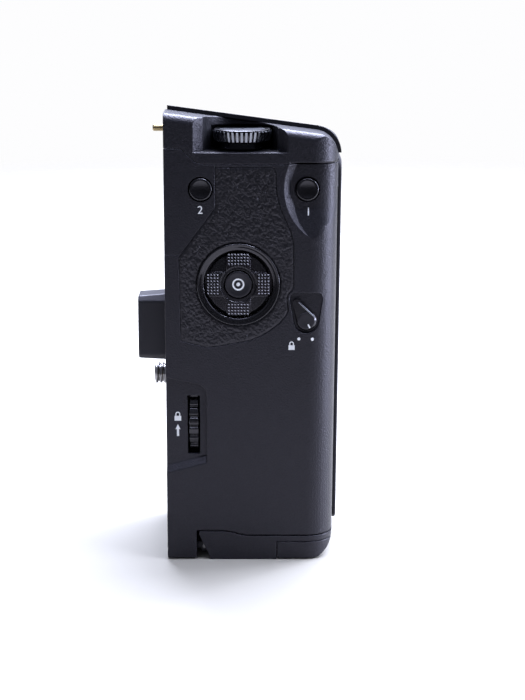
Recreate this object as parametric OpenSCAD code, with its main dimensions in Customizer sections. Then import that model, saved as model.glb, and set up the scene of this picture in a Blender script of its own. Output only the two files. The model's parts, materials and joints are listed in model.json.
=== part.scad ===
// Vertical battery grip for a camera, standing on its battery door.
// The mating face looks to -X, the rear controls to -Y, the finger bulge to +Y.

/* [Body] */
// Height at the tall mating edge of the deck, without the deck plate
deck_z = 132.2; // [126:0.2:140]
// Width from the mating face to the base face, at the foot
foot_w = 48.85; // [46:0.05:56]
// Depth of the body behind the finger bulge
body_d = 48; // [46:0.5:56]
// Overall depth over the finger bulge and its pad
grip_d = 65.8; // [62:0.2:72]
// Outward lean of the base face, in degrees
lean = 0.53; // [0:0.01:1.5]
// Wall of the shells
wall = 1.8; // [1.4:0.1:2.2]
// Radius of the upright edge between the rear face and the base face
edge_r = 8; // [5:0.5:10]
// Radius of the upright edges at the front
front_r = 5; // [3:0.5:8]
// Seam gap between neighbouring shells
seam = 0.12; // [0.05:0.01:0.3]
// Depth at which the rear and front covers meet
split_y = 11; // [10.5:0.5:12]
// Gap round a part that moves in an opening
play = 0.3; // [0.25:0.05:0.4]
// Radial clearance of a running fit
fit = 0.05; // [0.03:0.01:0.09]

/* [Deck] */
// Sideways slope of the deck, in degrees
deck_tilt = 7.6; // [4:0.1:10]
// Forward fall of the deck past its ridge, in degrees
deck_fall = 18; // [14:0.5:22]
// Distance of the ridge from the rear face
ridge_y = 13; // [12:0.5:15]
// Thickness of the deck plate
deck_plate_t = 1.2; // [0.8:0.1:1.6]
// Rounding between the deck and the base face
deck_corner_r = 7; // [5:0.5:9]
// Fillet along the rear edge of the deck
deck_fillet_r = 2.5; // [1.5:0.1:3.5]
// Drop from the deck to the seam under the top cover
top_seam_drop = 14.4; // [13.5:0.1:16]
// Rise of that seam at the mating edge
top_seam_step = 4.5; // [3:0.1:5]

/* [Finger bulge] */
// Drop from the top seam to where the bulge has its full depth
bulge_drop = 33.8; // [30:0.1:40]
// Height of the bend between the body and the bulge
bulge_rise = 26; // [22:0.5:32]
// Setback of the bulge from the mating face
bulge_x0 = 6; // [4:0.5:9]
// Width of the bulge
bulge_w = 40; // [36:0.5:41]
// Rounding of the upright edges of the bulge
bulge_r = 13; // [9:0.5:15]
// Thickness of the grip pad on the bulge
grip_pad_t = 0.8; // [0.5:0.1:1.2]
// Drop from the top seam to the upper edge of the grip pad
grip_pad_drop = 20; // [18:0.5:26]
// Length of the grip pad
grip_pad_h = 29; // [24:0.5:34]

/* [Rear dial] */
// Dial axis from the mating face
dial_x = 22.3; // [20:0.1:25]
// Dial axis from the rear face
dial_y = 9.5; // [9.2:0.1:10]
// Largest radius of the dial
dial_r = 8.7; // [7.8:0.1:8.9]
// Radius of the smooth skirt under the knurl
dial_skirt_r = 6.3; // [5:0.1:7]
// Height of the knurled band
dial_knurl_h = 3.5; // [2.5:0.1:4]
// Height of the smooth skirt
dial_skirt_h = 2.3; // [1.5:0.1:2.6]
// Number of knurl teeth
dial_teeth = 40; // [30:1:60]
// Rise of the dial recess floor over the top seam
dial_floor_rise = 3.2; // [2.8:0.1:3.6]
// Thickness of that floor
dial_floor_t = 2.2; // [1.6:0.1:2.4]
// Half width of the finger scoop at the rear face
scoop_r = 13.5; // [12.5:0.1:14.5]
// Depth of the slanted sides of its mouth
mouth_d = 2.8; // [1.5:0.1:3.2]
// Radius of the encoder shafts
shaft_r = 1.5; // [1.2:0.1:1.8]

/* [Shutter and front dial] */
// Shutter axis from the mating face
shutter_x = 25; // [23:0.5:28]
// Shutter axis from the deck ridge, along the deck
shutter_run = 36; // [32:0.5:37]
// Radius of the shutter button
shutter_r = 5.2; // [4.5:0.1:5.5]
// Travel of the shutter button
shutter_travel = 1.2; // [0.8:0.1:1.4]
// Outer radius of the front dial
front_dial_r = 10; // [9:0.1:10.5]
// Number of knurl teeth on the front dial
front_dial_teeth = 40; // [30:1:56]

/* [Buttons] */
// Radius of the two function buttons
fn_r = 3.25; // [2.6:0.05:3.4]
// Lower function button in the scoop, from the mating face
fn1_x = 41; // [40:0.1:42]
// Drop from the top seam to that button
fn1_drop = 7.4; // [6.5:0.1:8.5]
// Radius of the scoop round it
fn1_scoop_r = 17; // [15:0.1:18]
// Depth of that scoop
fn1_scoop_depth = 2; // [1.5:0.1:2.2]
// Function button in the control cover, from the mating face
fn2_x = 10.5; // [10:0.1:10.8]
// Drop from the top seam to that button
fn2_drop = 7.2; // [6:0.1:8.5]
// Travel of every push button
press = 0.6; // [0.4:0.05:0.8]
// Depth of the button board behind the rear face
board_y = 7.2; // [7:0.1:7.6]
// Thickness of the circuit boards
board_t = 1.2; // [0.8:0.1:1.6]

/* [Arrow pad] */
// Pad axis from the mating face
pad_x = 21.2; // [19:0.1:22]
// Drop from the top seam to the pad axis
pad_drop = 34.7; // [33:0.1:36.5]
// Outer radius of the bezel ring
bezel_r = 12; // [11.2:0.1:12.4]
// Width of the bezel ring
bezel_w = 2.1; // [1.5:0.1:2.4]
// Radius of the arrow pad
pad_r = 9; // [8:0.1:9.2]
// Radius of the centre button
ok_r = 3.85; // [3.2:0.05:4]
// Tilt of the arrow pad each way, in degrees
pad_tilt = 3; // [1:0.5:3.5]

/* [Lock lever] */
// Lever axis from the mating face
lever_x = 40.8; // [40:0.1:41.2]
// Drop from the top seam to the lever axis
lever_drop = 45.4; // [44:0.1:46.5]
// Radius of the lever hub
lever_hub_r = 2.9; // [2.4:0.1:3.1]
// Length of the lever arm
lever_len = 7; // [6:0.1:7.4]
// Angle between the two stops of the lever, in degrees
lever_swing = 56; // [48:1:60]

/* [Camera screw drive] */
// Radius of the camera screw thread
screw_r = 3.175; // [3.1:0.005:3.25]
// Pitch of that thread
screw_pitch = 1.27; // [1.0:0.01:1.4]
// Reach of the camera screw past the mating face
screw_reach = 4.6; // [4:0.1:6]
// Camera screw axis from the rear face
screw_y = 25; // [24:0.1:26]
// Drop from the top seam to the camera screw and the tripod socket
screw_drop = 66.6; // [66:0.1:67.3]
// Radius of the screw shank in its bush
shank_r = 2.6; // [2.2:0.1:2.8]
// Wheel axis from the rear face
wheel_y = 14; // [13.8:0.1:14.4]
// Outer radius of the mounting wheel
wheel_r = 13; // [12.6:0.1:13.2]
// Width of the mounting wheel
wheel_w = 2.9; // [2.4:0.1:3.1]
// Left side of the mounting wheel from the mating face
wheel_x = 6.6; // [6.5:0.1:6.8]
// Lugs on the mounting wheel
wheel_lugs = 27; // [20:1:34]
// Module of the two gears
gear_module = 1; // [0.98:0.01:1.02]
// Teeth of the gear on the wheel
wheel_teeth = 18; // [18:1:18]
// Teeth of the gear on the screw
screw_teeth = 12; // [12:1:12]
// Width of the gears
gear_w = 2.8; // [2:0.1:3]
// Depth of the wheel pocket in the rear face
pocket_depth = 1.5; // [1:0.1:1.8]

/* [Camera side] */
// Radius of the locating pin
pin_r = 1; // [0.8:0.05:1.5]
// Reach of the locating pin
pin_reach = 4.05; // [3:0.05:5]
// Locating pin from the rear face
pin_y = 20; // [18:0.5:22]
// Drop from the deck to the locating pin
pin_drop = 6; // [5.6:0.1:6.6]
// Thickness of the mount plate
mount_plate_t = 1.2; // [0.8:0.1:1.4]
// Reach of the plug cap past the mating face
plug_reach = 8.6; // [7:0.1:10]
// Width of the plug cap across the mating face
plug_w = 9.8; // [9:0.1:11]
// Height of the plug cap
plug_h = 20; // [18:0.1:21]
// Drop from the top seam to the middle of the plug
plug_drop = 50; // [48.8:0.1:50.8]
// Plug middle from the rear face
plug_y = 17; // [16.5:0.1:18]
// Wall of the plug cap
plug_wall = 1.2; // [0.9:0.1:1.5]

/* [Base side] */
// Thickness of the base pad
base_pad_t = 1.2; // [0.8:0.1:1.6]
// Lower end of the base pad
base_pad_z0 = 9.4; // [9:0.1:12]
// Reach of the base pad over the top seam
base_pad_over = 0.6; // [0:0.1:0.8]
// Width of the base pad
base_pad_d = 30; // [26:0.5:31]
// Corner radius of the base pad
base_pad_r = 4; // [2:0.5:6]
// Outer radius of the tripod socket
socket_r = 5.5; // [5:0.1:6.5]
// Depth of the tripod thread
socket_depth = 6; // [5:0.1:7]

/* [Battery bay and door] */
// Clear width of the bay
bay_w = 22; // [18:0.5:23]
// Space between the bay and the front wall
bay_front_gap = 4; // [3.5:0.1:8]
// Space between the bay and the deck for the boards and controls
bay_head = 67.4; // [66:0.1:72]
// Wall of the bay
bay_wall = 1.2; // [0.8:0.1:1.4]
// Bay wall next to the mating face
bay_x = 17.5; // [17:0.1:18]
// Left end of the door
door_x = 9; // [8.9:0.1:9.4]
// Height of the door at its hinge end
door_z_left = 8.6; // [8.3:0.1:9]
// Height of the door at its latch end
door_z_right = 7.25; // [6.8:0.05:7.6]
// Gap over the door
door_gap = 0.35; // [0.3:0.05:0.5]
// Hinge axis from the mating face
hinge_x = 10.9; // [10.8:0.1:11]
// Hinge axis height
hinge_z = 2.2; // [2:0.1:2.3]
// Radius of the hinge pin
hinge_pin_r = 0.7; // [0.5:0.05:0.8]
// Radius of the hinge knuckles
knuckle_r = 1.5; // [1.4:0.1:1.6]
// Left end of the door latch
latch_x = 32.5; // [31.5:0.1:34]
// Top of the door latch
latch_z = 5.4; // [5:0.1:5.6]
// Depth of the door latch
latch_d = 14; // [10:0.5:18]

/* [Hidden] */
$fn = 64;
// Depth of the piece that stands proudest of the rear face
rear_proud = 0.6;
// Heights that hang from the deck
top_seam_z = deck_z - top_seam_drop;
dial_floor_z = top_seam_z + dial_floor_rise;
fn1_z = top_seam_z - fn1_drop;
fn2_z = top_seam_z - fn2_drop;
pad_z = top_seam_z - pad_drop;
lever_z = top_seam_z - lever_drop;
screw_z = top_seam_z - screw_drop;
plug_z = top_seam_z - plug_drop;
pin_z = deck_z - pin_drop;
base_pad_top = top_seam_z + base_pad_over;
base_pad_h = base_pad_top - base_pad_z0;
base_pad_y0 = (body_d + edge_r - front_r - base_pad_d) / 2;
base_cover_y1 = base_pad_y0 + base_pad_d - 1;
x_max = (foot_w + base_pad_t) * cos(lean) + base_pad_top * sin(lean);
// The origin lies under the middle of the object
shift = [(plug_reach - x_max) / 2, (rear_proud - grip_d) / 2, 0];
bulge_front = grip_d - grip_pad_t;
bulge_z1 = top_seam_z - bulge_drop;
bulge_z0 = bulge_z1 - bulge_rise;
grip_pad_z1 = top_seam_z - grip_pad_drop;
grip_pad_z0 = grip_pad_z1 - grip_pad_h;
bulge_run = bulge_front - body_d;
// The bulge leaves the body on two equal arcs of this turn and radius
bulge_turn = 2 * atan(bulge_run / bulge_rise);
bulge_bend = bulge_rise / (2 * sin(bulge_turn));
arc_steps = 10;
foot_r = 7;
block_x = door_x - 0.4;
block_z = 0.5;
base_face_x = foot_w + top_seam_z * tan(lean);
deck_corner_x = base_face_x - deck_corner_r;
deck_corner_z = deck_z - deck_corner_x * tan(deck_tilt) - deck_corner_r / cos(deck_tilt);
// Mount plate on the mating face
plate_y0 = 4;
plate_y1 = body_d - plate_y0;
plate_z0 = 10;
plate_z1 = top_seam_z - (plate_y1 - ridge_y) * tan(deck_fall) - 1.8;
plate_lip = 3;
housing_screw_r = 1;
housing_screw_inset = 3;
housing_screw_len = 7;
boss_r = 2.4;
pin_root = 7;
pin_root_r = pin_r + 0.4;
// Gear train
gear_x = 2.95;
gear_distance = gear_module * (wheel_teeth + screw_teeth) / 2;
wheel_z = screw_z - sqrt(pow(gear_distance, 2) - pow(screw_y - wheel_y, 2));
mesh_angle = atan2(screw_z - wheel_z, screw_y - wheel_y);
gear_addendum = 0.8;
gear_dedendum = 1;
gear_backlash = 0.3;
pressure_angle = 20;
axle_r = 1.5;
bracket_x = wheel_x + wheel_w + 1.4;
bracket_t = 1.2;
bracket_legs = [[8.5, wheel_z + 17], [33, wheel_z - 5], [wheel_y, wheel_z - 17]];
leg_r = 1.5;
bush_r = 4.8;
bush_len = 2.6;
// Key stack behind the rear face
switch_h = 1;
stem_end = board_y - switch_h - press - 0.1;
fn_flange_r = fn_r + 0.9;
fn_flange_t = 0.8;
board_x0 = wall + housing_screw_len + play;
board_x1 = 45;
board_z0 = pad_z - 15.1;
board_z1 = top_seam_z - 3.8;
board_bosses = [[12, pad_z - 12.6], [25, pad_z + 22.9], [39, pad_z + 5.9]];
rocker_y = 2.95;
rocker_t = 0.7;
rocker_r = pad_r - 1;
bezel_floor = rocker_y + rocker_t / 2 + rocker_r * sin(pad_tilt) + 0.05;
bezel_back = bezel_floor + 0.7;
key_w = 7;
key_r = 5.2;
// Lock lever recess
lever_floor = 1.2;
lever_rest = lever_swing / 2;
lever_tip_r = 1.2;
lever_tip = lever_len - lever_tip_r;
fan_corner_r = 1.5;
fan_top = lever_len + 1.2 - fan_corner_r;
lever_pivot_r = 1.2;
// Shutter stack, in the frame of the falling deck
front_cup_r = front_dial_r + play;
front_cup_depth = 2.4;
tube_r = shutter_r + play + 0.8;
front_dial_h = 3.6;
// Battery bay
bay_y = wall + bay_wall;
bay_d = body_d - bay_front_gap - 2 * (wall + bay_wall);
bay_z0 = door_z_left + 1;
bay_h = deck_z - bay_head - bay_wall - bay_z0;
bay_top = bay_z0 + bay_h + bay_wall;
// Tripod socket
socket_mouth = foot_w + screw_z * tan(lean) + base_pad_t - 0.3;
socket_back = bay_x + bay_w + bay_wall;
// Hinge
knuckle_y = [5.5, 11.5, body_d - 11.5, body_d - 5.5];
knuckle_gap = 0.15;
seal_seat = 6.2;
seal_w = 2;

// A flat outline in y and z, drawn out along x
module slab_x(x0, x1) {
    translate([x0, 0, 0]) rotate([90, 0, 90]) linear_extrude(x1 - x0) children();
}

// A flat outline in x and z, drawn out along y
module slab_y(y0, y1) {
    translate([0, y1, 0]) rotate([90, 0, 0]) linear_extrude(y1 - y0) children();
}

// A round bar along x, y or z
module bar_x(x0, x1, y, z, r) {
    translate([x0, y, z]) rotate([0, 90, 0]) cylinder(r = r, h = x1 - x0);
}

module bar_y(y0, y1, x, z, r) {
    translate([x, y0, z]) rotate([-90, 0, 0]) cylinder(r = r, h = y1 - y0);
}

module bar_z(z0, z1, x, y, r) {
    translate([x, y, z0]) cylinder(r = r, h = z1 - z0);
}

// A box between two corners
module block(a, b) {
    translate(a) cube(b - a);
}

// What a rounding takes off the corner p, where d points into the body
module corner_sliver(p, d, r) {
    difference() {
        translate([p.x - (d.x < 0 ? r : 1), p.y - (d.y < 0 ? r : 1)]) square(r + 1);
        translate([p.x + d.x * r, p.y + d.y * r]) circle(r);
    }
}

// The convex outline round a ring of circles, each [x, y, radius], anticlockwise.
// Its straight sides lie a hair inside the circles, so that they cross them
module wrap(circles) {
    n = len(circles);
    hair = 0.01;
    polygon([for (k = [0:n - 1]) let (
        a = circles[k],
        b = circles[(k + 1) % n],
        run = [b.x - a.x, b.y - a.y],
        turn = atan2(run.y, run.x) - acos((a.z - b.z) / norm(run)),
        out = [cos(turn), sin(turn)]
    ) each [[a.x, a.y] + (a.z - hair) * out, [b.x, b.y] + (b.z - hair) * out]]);
    for (c = circles) translate([c.x, c.y]) circle(c.z);
}

module base_plan(i) {
    difference() {
        translate([-20, i]) square([foot_w - i + 20, body_d - 2 * i]);
        corner_sliver([foot_w - i, i], [-1, 1], edge_r - i);
        corner_sliver([foot_w - i, body_d - i], [-1, -1], front_r - i);
    }
}

module bulge_plan(i) {
    x0 = bulge_x0 + i;
    x1 = bulge_x0 + bulge_w - i;
    difference() {
        translate([x0, body_d / 2]) square([x1 - x0, bulge_front - i - body_d / 2]);
        corner_sliver([x0, bulge_front - i], [1, -1], bulge_r - i);
        corner_sliver([x1, bulge_front - i], [-1, -1], bulge_r - i);
    }
}

// Side view of the bulge, in y and z, drawn in by i
function bulge_side(i) = concat(
    [[body_d / 2, bulge_z0]],
    [for (k = [0:arc_steps]) let (a = bulge_turn * k / arc_steps)
        [body_d + bulge_bend - (bulge_bend + i) * cos(a), bulge_z0 + (bulge_bend + i) * sin(a)]],
    [for (k = [1:arc_steps]) let (a = bulge_turn * (k / arc_steps - 1))
        [bulge_front - bulge_bend + (bulge_bend - i) * cos(a), bulge_z1 + (bulge_bend - i) * sin(a)]],
    [[bulge_front - i, deck_z + 10], [body_d / 2, deck_z + 10]]
);

module bulge(i) {
    intersection() {
        linear_extrude(deck_z + 5) bulge_plan(i);
        slab_x(bulge_x0 - 2, bulge_x0 + bulge_w + 2) polygon(bulge_side(i));
    }
}

// Places its children on the falling part of the deck, at the ridge
module on_deck() {
    translate([0, ridge_y, deck_z]) rotate([-deck_fall, deck_tilt, 0]) children();
}

// All that lies above the deck, lowered by i
module over_deck(i) {
    translate([0, 0, deck_z]) rotate([0, deck_tilt, 0]) block([-30, -10, -i], [90, 90, 60]);
    on_deck() block([-30, -40, -i], [90, 100, 60]);
}

module deck_corner(i) {
    c = [deck_corner_x, deck_corner_z];
    slab_y(-5, grip_d + 5) difference() {
        polygon([c, c + 20 * [sin(deck_tilt), cos(deck_tilt)], c + [20, 20], c + [20, 0]]);
        translate(c) circle(deck_corner_r - i);
    }
}

module deck_fillet() {
    translate([0, 0, deck_z]) rotate([0, deck_tilt, 0]) slab_x(-10, 80)
        corner_sliver([0, 0], [1, -1], deck_fillet_r);
}

// The leaning body without its bulge, drawn in by i
module upright(i) {
    rotate([0, lean, 0]) translate([0, 0, -5]) linear_extrude(deck_z + 20) base_plan(i);
}

// The outer form of the body, drawn in by i
module form(i) {
    difference() {
        union() {
            difference() {
                upright(i);
                block([-60, -10, -20], [i, 100, 200]);
            }
            bulge(i);
        }
        block([-10, -10, -20], [100, 100, i]);
        over_deck(i);
        deck_corner(i);
        slab_y(-5, body_d + 5) corner_sliver([foot_w - i, i], [-1, 1], foot_r - i);
        if (i == 0) deck_fillet();
    }
}

module shell() {
    difference() {
        form(0);
        form(wall);
    }
}

// Outline of the seam under the top cover, in x and z
function seam_line() = [
    [-20, top_seam_z + top_seam_step], [4.9, top_seam_z + top_seam_step],
    [5.8, top_seam_z + 0.78 * top_seam_step], [8.5, top_seam_z + 0.27 * top_seam_step],
    [9.5, top_seam_z + 0.1 * top_seam_step], [11, top_seam_z], [90, top_seam_z]
];

// Everything that belongs to the top cover, lowered by drop
module top_zone(drop) {
    translate([0, 0, -drop]) {
        slab_y(-5, ridge_y) polygon(concat(seam_line(), [[90, 200], [-20, 200]]));
        intersection() {
            translate([-50, ridge_y, top_seam_z]) rotate([-deck_fall, 0, 0])
                block([0, -40, 0], [200, 100, 100]);
            block([-50, ridge_y, 0], [150, 120, 220]);
        }
    }
}

// Top line of the door from its hinge end to its latch end, raised by g
door_bend_x0 = 16.7;
door_bend_x1 = 24;
function door_line(g) = [
    for (k = [0:8]) let (t = k / 8) [
        door_bend_x0 + t * (door_bend_x1 - door_bend_x0),
        g + door_z_right + (door_z_left - door_z_right) * (1 + cos(180 * t)) / 2
    ]
];

// Space kept free for the door under the covers
module door_zone() {
    g = door_gap;
    slab_y(-5, body_d + 5) polygon(concat(
        [[block_x, -5], [block_x, door_z_left + g]], door_line(g), [[90, door_z_right + g], [90, -5]]
    ));
}

// The places of the four housing screws, in y and z
function plate_screws() = [
    for (y = [plate_y0 + housing_screw_inset, plate_y1 - housing_screw_inset])
        for (z = [plate_z0 + housing_screw_inset, plate_z1 - housing_screw_inset]) [y, z]
];

module screw_bosses() {
    for (p = plate_screws()) difference() {
        bar_x(mount_plate_t, wall + housing_screw_len, p.x, p.y, boss_r);
        bar_x(0, wall + housing_screw_len + 1, p.x, p.y, housing_screw_r);
    }
}

// Room for the mount plate and the window behind it
module plate_room() {
    block([-1, plate_y0, plate_z0], [mount_plate_t, plate_y1, plate_z1]);
    difference() {
        block([-1, plate_y0 + plate_lip, plate_z0 + plate_lip],
            [wall + 1, plate_y1 - plate_lip, plate_z1 - plate_lip]);
        for (p = plate_screws()) bar_x(-2, wall + 2, p.x, p.y, boss_r);
    }
    for (p = plate_screws()) bar_x(-2, wall + 1, p.x, p.y, housing_screw_r);
}

// Floor of the scoop round the lower function button: set back by its depth, with a smaller corner
// that meets the side of the body, and below its crease a slope that runs out at the foot
scoop_crease_z = fn1_z - 5.3;
scoop_slope = 13;
module scoop_plan() {
    difference() {
        translate([-40, 0]) square(40);
        corner_sliver([0, 0], [-1, 1], edge_r - fn1_scoop_depth);
    }
}

module scoop_floor() {
    translate([foot_w, fn1_scoop_depth, 0]) rotate([0, lean, 0]) linear_extrude(deck_z + 20) scoop_plan();
    translate([foot_w + scoop_crease_z * tan(lean), fn1_scoop_depth, scoop_crease_z])
        rotate([-scoop_slope, 0, 0]) rotate([0, lean, 0]) translate([0, 0, -20])
            linear_extrude(40) scoop_plan();
}

module fn1_scoop() {
    difference() {
        translate([fn1_x + 10.3, -0.01, fn1_z + 0.3]) rotate([-90, 0, 0])
            cylinder(r1 = fn1_scoop_r, r2 = fn1_scoop_r - edge_r - 1, h = edge_r + 1);
        scoop_floor();
    }
}

// The fan-shaped recess of the lock lever, in x and z
module lever_fan() {
    spread = lever_len * tan(lever_rest) - 0.4;
    translate([lever_x, lever_z]) wrap([
        [0, 0, lever_hub_r + 0.8], [spread, fan_top, fan_corner_r], [-spread, fan_top, fan_corner_r]
    ]);
}

// The pocket of the mounting wheel, in x and z, with its lower edge raised by up
pocket_x = 11.8;
pocket_top = wheel_z + 14.6;
pocket_foot = wheel_z - 14.3;
pocket_rise = 3.05;
ledge = 2;
module pocket_outline(up) {
    polygon([
        [-1, pocket_foot + up - pocket_rise / pocket_x], [pocket_x, pocket_foot + pocket_rise + up],
        [pocket_x, pocket_top - 4], [pocket_x - 1.8, pocket_top - 2.2], [-1, pocket_top + 0.2]
    ]);
}

// The pocket with a sloped ledge along its foot, and the slot for the wheel
module wheel_pocket() {
    slab_y(-1, pocket_depth) pocket_outline(ledge);
    intersection() {
        translate([0, 0, pocket_foot]) rotate([0, -atan(pocket_rise / pocket_x), 0])
            slab_x(-1, pocket_x + 2)
                polygon([[-1, -ledge / pocket_depth], [pocket_depth, ledge], [-1, ledge]]);
        slab_y(-1, pocket_depth) pocket_outline(0);
    }
    slot_h = 2 * sqrt(pow(wheel_r + 0.4, 2) - pow(wheel_y - pocket_depth, 2)) + 8;
    block([wheel_x - play, -1, wheel_z - slot_h / 2], [wheel_x + wheel_w + play, 8, wheel_z + slot_h / 2]);
}

// The outline of the leatherette panel, in x and in drop from the top seam
module panel_outline() {
    translate([0, top_seam_z]) polygon([
        [14.6, -0.8], [30.9, -0.8], [31.7, -1.2], [32.1, -2.3], [32.3, -8.2], [33.4, -12.5], [36.5, -19.7],
        [37.2, -23.2], [37.2, -35.4], [36.6, -36.6], [35.6, -37.6], [35.3, -38.8], [35.7, -42.2], [34.9, -44],
        [33, -46.2], [30.6, -48.1], [27.8, -49.8], [24.5, -51.3], [12.4, -53.4], [4.4, -51.3], [4.1, -26.7],
        [14.6, -12.5]
    ]);
}

// The outline of the control cover, in x and z
module control_outline() {
    foot = top_seam_z - 26.1;
    lift = [0, -seam];
    polygon(concat(
        [[-1, foot], [4.6, foot], [14.6, top_seam_z - 12.5], [14.6, top_seam_z - seam]],
        [for (k = [5:-1:1]) seam_line()[k] + lift], [[-1, seam_line()[0].y - seam]]
    ));
}
panel_t = 0.8;

module rear_cover() {
    color("#26282b") difference() {
        union() {
            intersection() {
                shell();
                block([-5, -5, -5], [90, split_y - seam / 2, 200]);
            }
            intersection() {
                form(0);
                union() {
                    difference() {
                        block([fn1_x - 8, 0, fn1_z - 15.4], [60, split_y - seam / 2, top_seam_z]);
                        upright(fn1_scoop_depth + wall);
                    }
                    block([lever_x - 7.3, 0, lever_z - 5.9],
                        [lever_x + 6.2, lever_floor + wall, lever_z + 10.6]);
                    block([0, 0, pocket_foot - 2.7], [pocket_x + 2.2, pocket_depth + wall, pocket_top + 2.4]);
                }
            }
            intersection() {
                screw_bosses();
                block([0, 0, 0], [60, split_y - seam / 2, 200]);
            }
            for (p = board_bosses) bar_y(wall / 2, board_y, p.x, p.y, 1.6);
        }
        top_zone(seam);
        door_zone();
        block([-5, -5, -5], [block_x + 1, 90, block_z]);
        plate_room();
        fn1_scoop();
        bar_y(-1, 8, fn1_x, fn1_z, fn_r + play);
        bar_y(fn1_scoop_depth + wall, split_y, fn1_x, fn1_z, fn_flange_r + play);
        slab_y(-1, lever_floor) lever_fan();
        bar_y(-1, 8, lever_x, lever_z, lever_pivot_r + fit);
        wheel_pocket();
        slab_y(-1, panel_t) panel_outline();
        slab_y(-1, wall + 0.01) control_outline();
        bar_y(-1, 8, pad_x, pad_z, bezel_r);
    }
}

// The wall under the base pad, from the rear cover to just inside the pad's front edge
module base_cover() {
    color("#26282b") difference() {
        intersection() {
            shell();
            block([foot_w / 2, split_y + seam / 2, -5], [90, base_cover_y1, 200]);
        }
        top_zone(seam);
        door_zone();
        bar_x(socket_back, 80, screw_y, screw_z, socket_r);
    }
}

module front_cover() {
    color("#26282b") difference() {
        union() {
            difference() {
                intersection() {
                    shell();
                    block([-5, split_y + seam / 2, -5], [90, 90, 200]);
                }
                block([foot_w / 2, 0, -5], [90, base_cover_y1 + seam, 200]);
            }
            intersection() {
                screw_bosses();
                block([0, split_y + seam / 2, 0], [60, 90, 200]);
            }
        }
        top_zone(seam);
        door_zone();
        block([-5, -5, -5], [block_x + 1, 90, block_z]);
        plate_room();
    }
}

// Scoop and pocket of the rear dial
module dial_room() {
    top = dial_skirt_h + dial_knurl_h + 0.6;
    rise = deck_z - dial_floor_z + 1;
    translate([dial_x - 0.4, 0, dial_floor_z]) {
        translate([0, mouth_d + 1, 0]) cylinder(r = scoop_r - mouth_d, h = rise);
        linear_extrude(rise) polygon([[-scoop_r - 1, -1], [scoop_r + 1, -1], [0, scoop_r]]);
    }
    bar_z(dial_floor_z, dial_floor_z + top + play, dial_x, dial_y, dial_r + play);
}

module top_cover() {
    color("#26282b") difference() {
        union() {
            intersection() {
                shell();
                top_zone(0);
            }
            intersection() {
                form(0);
                top_zone(0);
                block([6, 0, dial_floor_z - dial_floor_t], [38.5, dial_y + dial_r + 2, 200]);
            }
            intersection() {
                form(0);
                on_deck() bar_z(-front_cup_depth - wall, 0, shutter_x, shutter_run, front_cup_r + wall);
            }
            on_deck() bar_z(-front_cup_depth - 1, deck_plate_t + 0.4, shutter_x, shutter_run, tube_r);
            bar_x(0, pin_root, pin_y, pin_z, pin_root_r + 0.9);
        }
        dial_room();
        bar_z(0, 200, dial_x, dial_y, shaft_r + play);
        on_deck() difference() {
            bar_z(-front_cup_depth, 20, shutter_x, shutter_run, front_cup_r);
            bar_z(-front_cup_depth - 1, 20, shutter_x, shutter_run, tube_r);
        }
        on_deck() bar_z(-front_cup_depth, 20, shutter_x, shutter_run, shutter_r + play);
        on_deck() bar_z(-20, 1, shutter_x, shutter_run, shaft_r + play);
        bar_x(-1, pin_root + 1, pin_y, pin_z, pin_root_r);
        fn1_shadow();
    }
}

// The scoop of the lower function button runs out under the top cover
module fn1_shadow() {
    intersection() {
        fn1_scoop();
        block([30, -1, 0], [60, split_y, top_seam_z + 0.4]);
    }
}

// The body under the falling deck, drawn in by i
module under_deck(i) {
    difference() {
        upright(i);
        on_deck() block([-30, -40, -i], [90, 100, 60]);
        deck_corner(i);
    }
}

// A plate on the falling deck, which wraps the corner above the base pad
module deck_plate() {
    rim = 0.6;
    wrap_d = 20;
    color("#1b1c1e") difference() {
        union() {
            intersection() {
                union() {
                    upright(rim);
                    bulge(rim);
                }
                on_deck() block([-30, -40, 0], [90, 100, deck_plate_t]);
                block([rim, ridge_y, 0], [90, 90, 200]);
            }
            intersection() {
                difference() {
                    under_deck(-deck_plate_t);
                    under_deck(0);
                }
                block([deck_corner_x, ridge_y, deck_corner_z + 0.2], [90, ridge_y + wrap_d, 200]);
            }
        }
        deck_corner(-deck_plate_t);
        on_deck() bar_z(-1, 20, shutter_x, shutter_run, front_cup_r);
    }
}

module control_cover() {
    color("#26282b") difference() {
        intersection() {
            form(0);
            slab_y(-1, wall) control_outline();
        }
        bar_y(-1, 8, fn2_x, fn2_z, fn_r + play);
        slab_y(-1, panel_t) panel_outline();
    }
}

module rear_panel() {
    color("#1d1e20") difference() {
        slab_y(0, panel_t) panel_outline();
        bar_y(-1, 8, pad_x, pad_z, bezel_r);
    }
}

module grip_pad() {
    color("#1d1e20") difference() {
        intersection() {
            bulge(-grip_pad_t);
            block([0, body_d, grip_pad_z0], [90, 90, grip_pad_z1]);
        }
        bulge(0);
        top_zone(seam + 0.3);
    }
}

module base_pad() {
    color("#1a1a1b") difference() {
        rotate([0, lean, 0]) slab_x(foot_w, foot_w + base_pad_t) difference() {
            translate([base_pad_y0, base_pad_z0]) square([base_pad_d, base_pad_h]);
            for (c = [[0, 0], [1, 0], [0, 1], [1, 1]])
                corner_sliver([base_pad_y0 + c.x * base_pad_d, base_pad_z0 + c.y * base_pad_h],
                    [1 - 2 * c.x, 1 - 2 * c.y], base_pad_r);
        }
        bar_x(0, 80, screw_y, screw_z, socket_r + play);
    }
}

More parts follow.
